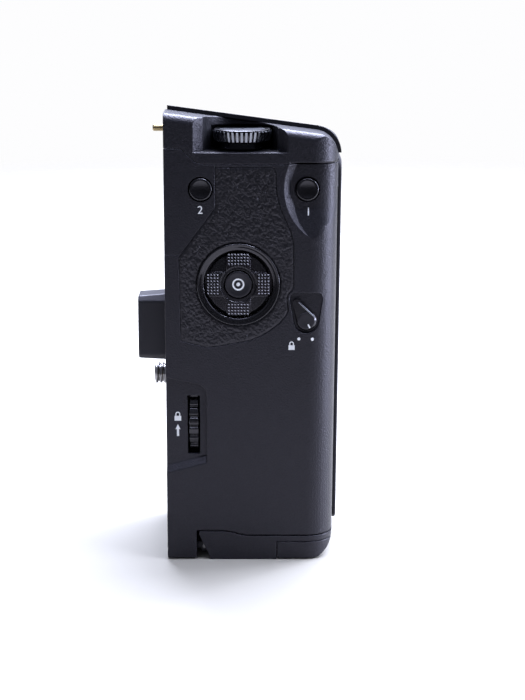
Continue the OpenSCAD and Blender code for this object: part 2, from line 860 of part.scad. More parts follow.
module mount_plate() {
    color("#3a3b3d") difference() {
        block([0, plate_y0, plate_z0], [mount_plate_t, plate_y1, plate_z1]);
        for (p = plate_screws()) {
            bar_x(-1, 9, p.x, p.y, housing_screw_r);
            bar_x(-1, 0.7, p.x, p.y, 2 * housing_screw_r);
        }
        bar_x(-1, 9, screw_y, screw_z, bush_r);
        bar_x(-1, 9, wheel_y, wheel_z, axle_r);
        block([-1, plug_y - plug_in_w / 2, plug_z - plug_in_h / 2],
            [9, plug_y + plug_in_w / 2, plug_z + plug_in_h / 2]);
    }
}
plug_in_w = plug_w - 2 * (plug_wall + 0.2);
plug_in_h = plug_h - 2 * (plug_wall + 0.2);

module housing_screws() {
    color("#8a8c90") for (p = plate_screws()) {
        bar_x(0.1, 0.7, p.x, p.y, 2 * housing_screw_r);
        bar_x(0.7, wall + housing_screw_len - 1, p.x, p.y, housing_screw_r);
    }
}

module locating_pin() {
    tip = pin_r / 2;
    color("#b09a5c") translate([-pin_reach, pin_y, pin_z]) rotate([90, 0, 90]) rotate_extrude() difference() {
        union() {
            square([pin_r, pin_reach + pin_root]);
            translate([0, pin_reach]) square([pin_root_r, pin_root]);
        }
        difference() {
            translate([pin_r - tip, -1]) square([tip + 1, tip + 1]);
            translate([pin_r - tip, tip]) circle(tip);
        }
    }
}

module plug_housing() {
    color("#2a2a2c") difference() {
        union() {
            block([2 - plug_reach, plug_y - plug_in_w / 2, plug_z - plug_in_h / 2],
                [4, plug_y + plug_in_w / 2, plug_z + plug_in_h / 2]);
            block([mount_plate_t, plug_y - plug_in_w / 2 - 1, plug_z - plug_in_h / 2 - 1],
                [2.6, plug_y + plug_in_w / 2 + 1, plug_z + plug_in_h / 2 + 1]);
        }
        block([-20, plug_y - 1.2, plug_z - plug_in_h / 2 + 1.2],
            [0, plug_y + 1.2, plug_z + plug_in_h / 2 - 1.2]);
    }
}

module plug_contacts() {
    count = 9;
    pitch = (plug_in_h - 4.4) / (count - 1);
    color("#c8a24a") for (k = [0:count - 1]) let (z = plug_z + (k - (count - 1) / 2) * pitch)
        block([3.5 - plug_reach, plug_y + 0.4, z - 0.35], [0, plug_y + 1.2, z + 0.35]);
}

module plug_cap() {
    slope = 2;
    color("#232427") difference() {
        translate([0, plug_y - plug_w / 2, plug_z - plug_h / 2]) slab_y(0, plug_w) polygon([
            [-seam, 0], [-seam, plug_h], [-plug_reach, plug_h - 0.6], [-plug_reach, 0.6]
        ]);
        block([plug_wall - plug_reach, plug_y - plug_in_w / 2 - 0.2, plug_z - plug_in_h / 2 - 0.2],
            [9, plug_y + plug_in_w / 2 + 0.2, plug_z + plug_in_h / 2 + 0.2]);
        for (s = [-1, 1]) translate([0, plug_y - plug_w / 2, plug_z + s * plug_h / 2]) rotate([45, 0, 0])
            block([-20, -slope / sqrt(2), -slope / sqrt(2)], [9, slope / sqrt(2), slope / sqrt(2)]);
    }
}

// A round outline with teeth cut as plain waves between two radii
function wave_outline(n, r0, r1, top = 0.3) = [
    for (k = [0:n - 1]) for (s = [[-0.5, r0], [-top, r1], [top, r1]])
        let (a = 360 * (k + s.x + 0.15) / n) s.y * [cos(a), sin(a)]
];

// Half the angle that a tooth of n teeth takes up at radius r, in degrees
function involute(a) = tan(a) * 180 / PI - a;
function tooth_half(n, r) = let (
    base = gear_module * n / 2 * cos(pressure_angle),
    pitch_half = (PI * gear_module / 2 - gear_backlash / 2) / (gear_module * n) * 180 / PI
) pitch_half + involute(pressure_angle) - (r > base ? involute(acos(base / r)) : 0);

// One gear's outline, with a tooth at the angle turn
function gear_outline(n, turn) = let (
    pitch_r = gear_module * n / 2,
    r0 = pitch_r - gear_dedendum * gear_module,
    r1 = pitch_r + gear_addendum * gear_module,
    rise = [for (k = [0:4]) r0 + (r1 - r0) * k / 4]
) [
    for (k = [0:n - 1]) let (c = turn + 360 * k / n) each concat(
        [for (r = rise) r * [cos(c - tooth_half(n, r)), sin(c - tooth_half(n, r))]],
        [for (j = [4:-1:0]) let (r = rise[j]) r * [cos(c + tooth_half(n, r)), sin(c + tooth_half(n, r))]]
    )
];

module mount_wheel() {
    hub = axle_r + 1.6;
    color("#2b2c2e") difference() {
        union() {
            translate([0, wheel_y, wheel_z]) slab_x(wheel_x, wheel_x + wheel_w)
                polygon(wave_outline(wheel_lugs, wheel_r - 0.8, wheel_r));
            bar_x(gear_x + gear_w, bracket_x - play, wheel_y, wheel_z, hub);
        }
        bar_x(-1, 20, wheel_y, wheel_z, axle_r + fit);
        for (s = [[wheel_x - 1, wheel_x + 0.9], [wheel_x + wheel_w - 0.9, wheel_x + wheel_w + 1]])
            difference() {
                bar_x(s.x, s.y, wheel_y, wheel_z, wheel_r - 2.4);
                bar_x(0, 20, wheel_y, wheel_z, hub);
            }
    }
}

module wheel_gear() {
    color("#9a8f6a") difference() {
        translate([0, wheel_y, wheel_z]) slab_x(gear_x, gear_x + gear_w)
            polygon(gear_outline(wheel_teeth, mesh_angle));
        bar_x(-1, 20, wheel_y, wheel_z, axle_r + fit);
    }
}

module wheel_axle() {
    color("#a5a7aa") bar_x(0.1, bracket_x + bracket_t, wheel_y, wheel_z, axle_r);
}

module wheel_bracket() {
    plate = [bracket_legs[0].x - 2.5, bracket_legs[2].y - 2.5,
        bracket_legs[1].x + 2.5, bracket_legs[0].y + 2.5];
    color("#77797c") difference() {
        union() {
            block([bracket_x, plate[0], plate[1]], [bracket_x + bracket_t, plate[2], plate[3]]);
            for (p = bracket_legs) bar_x(mount_plate_t, bracket_x, p.x, p.y, leg_r);
        }
        bar_x(0, 20, wheel_y, wheel_z, axle_r);
    }
}

module mount_screw() {
    depth = 0.6 * screw_pitch;
    collar = 0.4;
    turns = floor((screw_reach - collar - 0.8) / screw_pitch);
    color("#b8bbbf") difference() {
        union() {
            bar_x(-screw_reach, -collar, screw_y, screw_z, screw_r);
            bar_x(-screw_reach, wheel_x - 0.4, screw_y, screw_z, shank_r);
        }
        for (k = [0:turns - 1]) translate([-screw_reach + 0.8 + (k + 0.5) * screw_pitch, screw_y, screw_z])
            rotate([0, 90, 0]) rotate_extrude() polygon([
                [screw_r - depth, -0.05], [screw_r + 0.1, -0.42 * screw_pitch],
                [screw_r + 0.1, 0.42 * screw_pitch], [screw_r - depth, 0.05]
            ]);
    }
}

module screw_gear() {
    color("#9a8f6a") difference() {
        translate([0, screw_y, screw_z]) slab_x(gear_x, gear_x + gear_w)
            polygon(gear_outline(screw_teeth, mesh_angle + 180 + 180 / screw_teeth));
        bar_x(-1, 20, screw_y, screw_z, shank_r);
    }
}

module screw_bush() {
    color("#b59a55") difference() {
        union() {
            bar_x(0.05, bush_len, screw_y, screw_z, bush_r);
            bar_x(mount_plate_t, bush_len, screw_y, screw_z, bush_r + 1);
        }
        bar_x(-1, 20, screw_y, screw_z, shank_r + fit);
    }
}

module tripod_socket() {
    color("#b8bbbf") difference() {
        bar_x(socket_back, socket_mouth, screw_y, screw_z, socket_r);
        bar_x(socket_mouth - socket_depth, socket_mouth + 1, screw_y, screw_z, screw_r);
    }
}

module battery_bay() {
    color("#3b3d40") difference() {
        block([bay_x - bay_wall, bay_y - bay_wall, bay_z0],
            [bay_x + bay_w + bay_wall, bay_y + bay_d + bay_wall, bay_top]);
        block([bay_x, bay_y, 0], [bay_x + bay_w, bay_y + bay_d, bay_top - bay_wall]);
        for (y = contact_rows()) block([bay_x + 3, y, 0], [bay_x + 6, y + contact_w, bay_top + 1]);
    }
}
contact_w = 2;
function contact_rows() = [for (k = [-1:1]) bay_y + bay_d / 2 + 5 * k - contact_w / 2];

module battery_contacts() {
    color("#c8a24a") for (y = contact_rows())
        block([bay_x + 3.2, y + 0.2, bay_top - bay_wall - 3], [bay_x + 5.8, y + contact_w - 0.2, bay_top]);
}

module main_board() {
    color("#1f5a3a")
        block([bay_x - 3, bay_y + 6, bay_top], [bay_x + bay_w + 4, bay_y + bay_d, bay_top + board_t]);
}

module button_board() {
    color("#1f5a3a") block([board_x0, board_y, board_z0], [board_x1, board_y + board_t, board_z1]);
}

// The four arrow directions, in x and z
function arrows() = [for (k = [0:3]) [cos(90 * k), sin(90 * k)]];
arrow_switch_r = 6.6;

module key_switches() {
    color("#c9c9c4") {
        for (p = [[fn1_x, fn1_z], [fn2_x, fn2_z], [pad_x, pad_z]])
            block([p.x - 1.8, board_y - switch_h, p.y - 1.8], [p.x + 1.8, board_y, p.y + 1.8]);
        for (d = arrows())
            bar_y(bezel_floor + 0.1, board_y, pad_x + arrow_switch_r * d.x, pad_z + arrow_switch_r * d.y, 0.9);
    }
}

module pad_bezel() {
    inner = bezel_r - bezel_w;
    crown = bezel_w / 2;
    color("#0d0d0e") difference() {
        union() {
            translate([pad_x, 0, pad_z]) rotate([90, 0, 0]) rotate_extrude() {
                translate([inner, -bezel_back]) square([bezel_w, bezel_back + rear_proud - crown / 2]);
                intersection() {
                    translate([inner + crown, rear_proud - 1.25 * crown]) circle(1.25 * crown);
                    translate([inner, -1]) square([bezel_w, 5]);
                }
            }
            bar_y(bezel_floor, bezel_back, pad_x, pad_z, inner + 0.1);
        }
        bar_y(0, 9, pad_x, pad_z, shaft_r + 0.5);
        for (d = arrows())
            bar_y(0, 9, pad_x + arrow_switch_r * d.x, pad_z + arrow_switch_r * d.y, 0.9 + play);
    }
}

module pad_rocker() {
    color("#4a4c50") difference() {
        bar_y(rocker_y - rocker_t / 2, rocker_y + rocker_t / 2, pad_x, pad_z, rocker_r);
        bar_y(0, 9, pad_x, pad_z, ok_r + 1);
    }
}

module arrow_pad() {
    color("#232427") difference() {
        union() {
            bar_y(0.9, 2.1, pad_x, pad_z, pad_r);
            bar_y(0.25, 1, pad_x, pad_z, key_r + 0.4);
            intersection() {
                bar_y(-0.3, 1, pad_x, pad_z, pad_r);
                union() {
                    block([pad_x - 20, -1, pad_z - key_w / 2], [pad_x + 20, 2, pad_z + key_w / 2]);
                    block([pad_x - key_w / 2, -1, pad_z - 20], [pad_x + key_w / 2, 2, pad_z + 20]);
                }
            }
        }
        bar_y(-1, 0.25, pad_x, pad_z, key_r);
        bar_y(-1, 9, pad_x, pad_z, ok_r + play);
    }
}

module ok_button() {
    color("#232427") {
        bar_y(-0.1, 1.2, pad_x, pad_z, ok_r);
        bar_y(1.2, stem_end, pad_x, pad_z, shaft_r);
    }
}

// A function button with its cap at depth y and its flange behind a wall that ends at depth back
module fn_button(x, z, y, back) {
    color("#1c1d1f") {
        bar_y(y, back + play, x, z, fn_r);
        bar_y(back + play, back + play + fn_flange_t, x, z, fn_flange_r);
        bar_y(back + play + fn_flange_t, stem_end, x, z, shaft_r);
    }
}

module fn1_button() {
    fn_button(fn1_x, fn1_z, fn1_scoop_depth - 1, fn1_scoop_depth + wall);
}

module fn2_button() {
    fn_button(fn2_x, fn2_z, -0.3, wall);
}

module lock_lever() {
    face = lever_floor - 0.2;
    color("#26282b") {
        translate([lever_x, 0, lever_z]) rotate([0, -lever_rest, 0])
            slab_y(0, face) wrap([[0, 0, lever_hub_r], [0, lever_tip, lever_tip_r]]);
        bar_y(face, lever_floor + wall + 1.4, lever_x, lever_z, lever_pivot_r);
    }
}

module lever_clip() {
    back = lever_floor + wall + 0.2;
    color("#8a8c90") difference() {
        bar_y(back, back + 0.6, lever_x, lever_z, lever_pivot_r + 1.2);
        bar_y(0, 20, lever_x, lever_z, lever_pivot_r);
    }
}

module rear_dial() {
    z0 = dial_floor_z + play;
    z1 = z0 + dial_skirt_h;
    z2 = z1 + dial_knurl_h;
    color("#0e0e0f") difference() {
        union() {
            bar_z(z0, z1 + 0.1, dial_x, dial_y, dial_skirt_r);
            intersection() {
                translate([dial_x, dial_y, z1]) linear_extrude(dial_knurl_h)
                    polygon(wave_outline(dial_teeth, dial_r - 0.5, dial_r));
                translate([dial_x, dial_y, z1])
                    cylinder(r1 = dial_r - 0.7, r2 = dial_r + 0.5, h = dial_knurl_h);
            }
        }
        bar_z(0, z2 - 1, dial_x, dial_y, shaft_r + fit);
    }
}

module rear_encoder() {
    z1 = dial_floor_z - dial_floor_t;
    color("#55585c") {
        block([dial_x - 5, dial_y - 4.5, z1 - 3.2], [dial_x + 5, dial_y + 4.5, z1]);
        bar_z(z1, dial_floor_z + dial_skirt_h + dial_knurl_h - 1.2, dial_x, dial_y, shaft_r);
    }
}

module front_dial() {
    z0 = -front_cup_depth + play;
    color("#0e0e0f") on_deck() difference() {
        translate([shutter_x, shutter_run, z0]) linear_extrude(front_dial_h)
            polygon(wave_outline(front_dial_teeth, front_dial_r - 0.5, front_dial_r));
        bar_z(-20, 20, shutter_x, shutter_run, tube_r + fit);
    }
}

module front_encoder() {
    top = -front_cup_depth - wall;
    color("#55585c") on_deck() difference() {
        bar_z(top - 1.6, top, shutter_x, shutter_run, front_dial_r - 1);
        bar_z(-40, 20, shutter_x, shutter_run, shaft_r + 1.5);
    }
}

module shutter_button() {
    color("#1c1d1f") on_deck() {
        bar_z(-front_cup_depth + shutter_travel + 0.3, deck_plate_t + 1.6, shutter_x, shutter_run, shutter_r);
        bar_z(-front_cup_depth - wall - 0.4, 0, shutter_x, shutter_run, shaft_r);
    }
}

module shutter_switch() {
    top = -front_cup_depth - wall - 1.6;
    color("#c9c9c4") on_deck() translate([shutter_x, shutter_run, 0])
        block([-4.5, -4.5, top - 2], [4.5, 4.5, top]);
}

module hinge_block() {
    color("#3b3d40") difference() {
        union() {
            block([wall, wall, wall], [block_x, body_d - wall, wall + 3]);
            for (k = [0, 2]) {
                block([block_x - 1, knuckle_y[k], wall], [hinge_x, knuckle_y[k + 1], hinge_z + knuckle_r]);
                bar_y(knuckle_y[k], knuckle_y[k + 1], hinge_x, hinge_z, knuckle_r);
            }
        }
        bar_y(0, 90, hinge_x, hinge_z, hinge_pin_r);
    }
}

module hinge_pin() {
    color("#a5a7aa") bar_y(knuckle_y[0] + 0.2, knuckle_y[3] - 0.2, hinge_x, hinge_z, hinge_pin_r);
}

// Side outline of the door, in x and z
module door_outline() {
    left = door_x + 0.4;
    polygon(concat(
        [[left, door_z_left - 1], [left, door_z_left]], door_line(0),
        [[90, door_z_right], [90, -5], [hinge_x + 2, -5], [hinge_x + 2, 0]]
    ));
}

// Room for the latch in the end of the door
module latch_room(g) {
    block([latch_x - g, -5, -5], [90, latch_d + g, latch_z + g]);
}

module latch_tongue(g) {
    block([latch_x - 6 - g, latch_d / 2 - 2 - g, 1.6 - g], [latch_x + 1, latch_d / 2 + 2 + g, 4 + g]);
}

module battery_door() {
    color("#26282b") difference() {
        union() {
            difference() {
                intersection() {
                    form(0);
                    slab_y(-1, body_d + 1) door_outline();
                }
                intersection() {
                    form(wall);
                    block([door_bend_x0 - 1, wall + play, seal_seat], [foot_w - wall, body_d - wall, 20]);
                }
                for (k = [0, 2]) bar_y(knuckle_y[k] - knuckle_gap, knuckle_y[k + 1] + knuckle_gap,
                    hinge_x, hinge_z, knuckle_r + play);
            }
            bar_y(knuckle_y[1] + knuckle_gap, knuckle_y[2] - knuckle_gap, hinge_x, hinge_z, knuckle_r);
        }
        bar_y(0, 90, hinge_x, hinge_z, hinge_pin_r + fit);
        latch_room(0.15);
        latch_tongue(0.15);
    }
}

module door_seal() {
    a = [bay_x - bay_wall, bay_y, seal_seat];
    b = [bay_x + bay_w + bay_wall, bay_y + bay_d + bay_wall, bay_z0 - 0.6];
    color("#151516") difference() {
        block(a, b);
        block([a.x + seal_w, a.y + seal_w, 0], [b.x - seal_w, b.y - seal_w, 20]);
    }
}

module door_latch() {
    color("#2a2c2f") union() {
        intersection() {
            form(0);
            latch_room(0);
            block([0, -5, 0.4], [90, 90, 90]);
        }
        latch_tongue(0);
    }
}

translate(shift) rear_cover();
translate(shift) front_cover();
translate(shift) base_cover();
translate(shift) top_cover();
translate(shift) deck_plate();
translate(shift) control_cover();
translate(shift) rear_panel();
translate(shift) grip_pad();
translate(shift) base_pad();
translate(shift) mount_plate();
translate(shift) housing_screws();
translate(shift) locating_pin();
translate(shift) plug_housing();
translate(shift) plug_contacts();
translate(shift) plug_cap();
translate(shift) mount_wheel();
translate(shift) wheel_gear();
translate(shift) wheel_axle();
translate(shift) wheel_bracket();
translate(shift) mount_screw();
translate(shift) screw_gear();
translate(shift) screw_bush();
translate(shift) tripod_socket();
translate(shift) battery_bay();
translate(shift) battery_contacts();
translate(shift) main_board();
translate(shift) button_board();
translate(shift) key_switches();
translate(shift) pad_bezel();
translate(shift) pad_rocker();
translate(shift) arrow_pad();
translate(shift) ok_button();
translate(shift) fn1_button();
translate(shift) fn2_button();
translate(shift) lock_lever();
translate(shift) lever_clip();
translate(shift) rear_dial();
translate(shift) rear_encoder();
translate(shift) front_dial();
translate(shift) front_encoder();
translate(shift) shutter_button();
translate(shift) shutter_switch();
translate(shift) hinge_block();
translate(shift) hinge_pin();
translate(shift) battery_door();
translate(shift) door_seal();
translate(shift) door_latch();
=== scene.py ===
"""Looks of a vertical battery grip for a camera, dressed on its packed model.

Sizes are millimetres from the maker's zero: x from the mating face, y from the rear face, z from the foot.
place() turns them into metres of the packed frame.
"""

import json
import logging
import math
from dataclasses import dataclass
from enum import Enum
from typing import Callable, Sequence

import bmesh
import bpy
import numpy as np
from mathutils import Matrix, Vector, noise
from mathutils.bvhtree import BVHTree
from mathutils.geometry import delaunay_2d_cdt

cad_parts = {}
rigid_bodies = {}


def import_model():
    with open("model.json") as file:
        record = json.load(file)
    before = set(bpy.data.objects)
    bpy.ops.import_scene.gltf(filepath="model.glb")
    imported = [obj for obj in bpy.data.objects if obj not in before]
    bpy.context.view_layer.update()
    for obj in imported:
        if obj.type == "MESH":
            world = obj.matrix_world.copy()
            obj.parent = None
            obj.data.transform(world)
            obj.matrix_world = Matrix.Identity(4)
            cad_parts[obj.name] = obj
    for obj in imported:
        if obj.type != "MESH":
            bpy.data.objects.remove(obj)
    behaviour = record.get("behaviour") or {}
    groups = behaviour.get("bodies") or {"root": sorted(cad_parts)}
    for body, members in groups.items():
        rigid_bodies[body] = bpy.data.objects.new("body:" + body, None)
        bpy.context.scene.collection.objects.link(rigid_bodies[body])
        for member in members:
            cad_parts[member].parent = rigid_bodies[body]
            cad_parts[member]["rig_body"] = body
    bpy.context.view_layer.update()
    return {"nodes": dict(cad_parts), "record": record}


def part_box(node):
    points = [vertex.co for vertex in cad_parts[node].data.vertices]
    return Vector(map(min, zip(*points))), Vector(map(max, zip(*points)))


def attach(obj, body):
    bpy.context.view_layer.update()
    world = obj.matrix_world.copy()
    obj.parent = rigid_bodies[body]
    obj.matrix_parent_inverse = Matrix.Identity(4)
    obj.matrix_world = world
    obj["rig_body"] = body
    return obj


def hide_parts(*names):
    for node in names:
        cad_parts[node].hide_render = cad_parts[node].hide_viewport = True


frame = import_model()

LOG = logging.getLogger("battery_grip")
MM = 0.001
ZERO = Vector((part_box("mount_plate")[0].x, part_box("rear_cover")[0].y, 0.0))
UP, ALONG, OUT, INTO = Vector((0, 0, 1)), Vector((1, 0, 0)), Vector((0, -1, 0)), Vector((0, 1, 0))
UPRIGHT = Matrix.Rotation(math.radians(90), 4, "X")
# Points nearer than this are one, and faces that turn less than this are one flat
MERGE_MM, FLAT_DEG = 0.002, 0.4
# Edges that turn more than the first are rounded, and those that turn more than the second shade as creases
CREASE_DEG, SMOOTH_DEG = 28.0, 38.0
# Edges shorter than this share of their rounding, or this near a spared point, stay as they are
SHORT_SHARE, SPARE_MM = 0.8, 2.2
# How far the larger faces lead the shading, in percent
FACE_WEIGHT = 60
# Prints are drawn flat here, ahead of the rear face
AHEAD_MM = -5.0
# Black paint and plastic give back a little more blue than red, and metals give back their own colour
HAZE, CLEAR = "#efecff", "#ffffff"
COAT_ROUGHNESS, SHEEN_ROUGHNESS = 0.08, 0.4
# Smudges from handling lie about this far apart
SMUDGE_MM = 7

Colour = tuple[float, float, float, float]
Point = tuple[float, float, float]
Outline = Sequence[tuple[float, float]]
Source = bpy.types.Node | bpy.types.NodeSocket


def place(x: float, y: float, z: float) -> Vector:
    """Turn a point in the maker's millimetres into the packed frame's metres."""
    return ZERO + Vector((x, y, z)) * MM


def linear(hex_colour: str) -> Colour:
    """Turn an sRGB hex colour into the linear values that a shader takes.

    Args:
        hex_colour: Six hex digits after a hash.

    Returns:
        Red, green, blue and an alpha of one.
    """
    parts = [int(hex_colour[i:i + 2], 16) / 255 for i in (1, 3, 5)]
    return (*((p / 12.92 if p <= 0.04045 else ((p + 0.055) / 1.055) ** 2.4) for p in parts), 1.0)


def bare_tree(owner: bpy.types.Material | bpy.types.World) -> bpy.types.NodeTree:
    """Give a material or a world a tree with no nodes in it, and return the tree."""
    owner.use_nodes = True
    owner.node_tree.nodes.clear()
    return owner.node_tree


def add(
    tree: bpy.types.NodeTree, kind: str, settings: dict | None = None, links: dict[str | int, Source] | None = None,
) -> bpy.types.Node:
    """Add a node with its settings and links.

    Args:
        tree: The tree that takes the node.
        kind: The node's type.
        settings: Attributes by name, or values of input sockets by name or number.
        links: Output sockets, or nodes for their first output, by the input that each one feeds.

    Returns:
        The new node.
    """
    node = tree.nodes.new(kind)
    for key, value in (settings or {}).items():
        if isinstance(key, str) and hasattr(node, key):
            setattr(node, key, value)
        else:
            node.inputs[key].default_value = value
    for key, source in (links or {}).items():
        tree.links.new(source.outputs[0] if isinstance(source, bpy.types.Node) else source, node.inputs[key])
    return node


class Relief(Enum):
    """How a surface was made, which sets the pattern that it carries."""

    GRIT = "sprayed paint with grit in it"
    LEATHER = "embossed leather grain"
    MOULDED = "spark-eroded mould texture"
    POLISHED = "polished, with faint handling marks"
    TURNED = "turned on a lathe"
    MATT = "matt rubber"
    PRINTED = "screen print"
    TRACKS = "circuit board with copper tracks"


class Edge(Enum):
    """Rounding of a piece's edges in millimetres."""

    CRISP = 0.12
    FINE = 0.22
    SOFT = 0.4


@dataclass(frozen=True)
class Finish:
    """A material by its common name, with the surface that its making gave it.

    Attributes:
        name: What the material is.
        slot: The record's material slot.
        relief: How the surface was made.
        colour: Main colour.
        second: Colour of the grain, dust or wear.
        roughness: Lowest and highest roughness over the surface.
        pitch: Spacing of the pattern in millimetres.
        depth: Height of the pattern in millimetres.
        metallic: One for bare metal.
        ior: Index of refraction of a coat or plastic.
        coat: Weight of a clear top layer.
        sheen: Weight of the soft sheen of rubber.
    """

    name: str
    slot: str
    relief: Relief
    colour: str
    second: str
    roughness: tuple[float, float]
    pitch: float
    depth: float
    metallic: float = 0.0
    ior: float = 1.5
    coat: float = 0.0
    sheen: float = 0.0

    def material(self) -> bpy.types.Material:
        """Build the finish's material once.

        Returns:
            The material.
        """
        known = bpy.data.materials.get(self.name)
        if known:
            return known
        made = bpy.data.materials.new(self.name)
        made.diffuse_color = linear(self.colour)
        tree = bare_tree(made)
        height, spread = self.pattern(tree, add(tree, "ShaderNodeTexCoord").outputs["Object"])
        tint = add(
            tree, "ShaderNodeMix", {"data_type": "RGBA", 6: linear(self.colour), 7: linear(self.second)}, {0: spread},
        )
        low, high = self.roughness
        gloss = add(tree, "ShaderNodeMapRange", {"To Min": low, "To Max": high}, {"Value": spread})
        bump = add(tree, "ShaderNodeBump", {"Strength": 1.0, "Distance": self.depth * MM}, {"Height": height})
        shader = add(
            tree, "ShaderNodeBsdfPrincipled",
            {"Metallic": self.metallic, "IOR": self.ior, "Coat Weight": self.coat, "Coat Roughness": COAT_ROUGHNESS,
             "Sheen Weight": self.sheen, "Sheen Roughness": SHEEN_ROUGHNESS,
             "Specular Tint": linear(HAZE if self.metallic < 0.5 else CLEAR)},
            {"Base Color": tint.outputs[2], "Roughness": gloss, "Normal": bump},
        )
        add(tree, "ShaderNodeOutputMaterial", links={"Surface": shader})
        return made

    def pattern(self, tree: bpy.types.NodeTree, where: bpy.types.NodeSocket) -> tuple[Source, Source]:
        """Add the nodes of the surface's pattern.

        Args:
            tree: The material's tree.
            where: Object coordinates in metres.

        Returns:
            What gives the height, and what gives the share of the second colour.
        """
        scale, at = 1 / (self.pitch * MM), {"Vector": where}
        fine = add(tree, "ShaderNodeTexNoise", {"Scale": scale, "Detail": 3.0, "Roughness": 0.6}, at)
        if self.relief is Relief.GRIT:
            # Grit stands out of the paint as separate grains, and dust gathers between them
            specks = add(tree, "ShaderNodeTexVoronoi", {"Scale": scale, "Randomness": 1.0}, at)
            grain = {"From Min": 0.1, "From Max": 0.6, "To Min": 1.0, "To Max": 0.0}
            grains = add(tree, "ShaderNodeMapRange", grain, {"Value": specks})
            both = add(tree, "ShaderNodeMath", {"operation": "MULTIPLY_ADD", 1: 0.6}, {0: fine, 2: grains})
            return both, add(tree, "ShaderNodeMapRange", {"From Min": 0.35, "From Max": 0.75}, {"Value": fine})
        if self.relief is Relief.LEATHER:
            # Pebbles of uneven size with creases between them
            warp = add(tree, "ShaderNodeTexNoise", {"Scale": scale * 0.6, "Detail": 2.0}, at)
            shift = {"operation": "MULTIPLY_ADD", 1: (self.pitch * MM * 0.8,) * 3}
            bent = add(tree, "ShaderNodeVectorMath", shift, {0: warp.outputs[1], 2: where})
            pebbles = {"feature": "DISTANCE_TO_EDGE", "Scale": scale}
            cells = add(tree, "ShaderNodeTexVoronoi", pebbles, {"Vector": bent})
            crown = {"From Max": 0.3, "interpolation_type": "SMOOTHSTEP"}
            dome = add(tree, "ShaderNodeMapRange", crown, {"Value": cells})
            return add(tree, "ShaderNodeMath", {"operation": "MULTIPLY_ADD", 1: 0.5}, {0: fine, 2: dome}), fine
        if self.relief is Relief.TURNED:
            # A lathe leaves fine rings across the axis, which lies along x
            cut = {"bands_direction": "X", "Scale": scale / 3, "Distortion": 0.6, "Detail": 1.0}
            return add(tree, "ShaderNodeTexWave", cut, at).outputs[1], fine
        if self.relief is Relief.TRACKS:
            # Copper tracks run square under the mask and stand up a little
            squares = {"distance": "MANHATTAN", "feature": "DISTANCE_TO_EDGE", "Scale": scale}
            grid = add(tree, "ShaderNodeTexVoronoi", squares, at)
            track = {"From Min": 0.1, "From Max": 0.14, "To Min": 1.0, "To Max": 0.0}
            line = add(tree, "ShaderNodeMapRange", track, {"Value": grid})
            return line, line
        handling = {"Scale": 1 / (SMUDGE_MM * MM), "Detail": 4.0, "Roughness": 0.65}
        smudge = add(tree, "ShaderNodeTexNoise", handling, at)
        if self.relief in (Relief.POLISHED, Relief.PRINTED):
            return fine, smudge
        return fine, add(tree, "ShaderNodeMath", {"operation": "MULTIPLY_ADD", 1: 0.5}, {0: smudge, 2: fine})


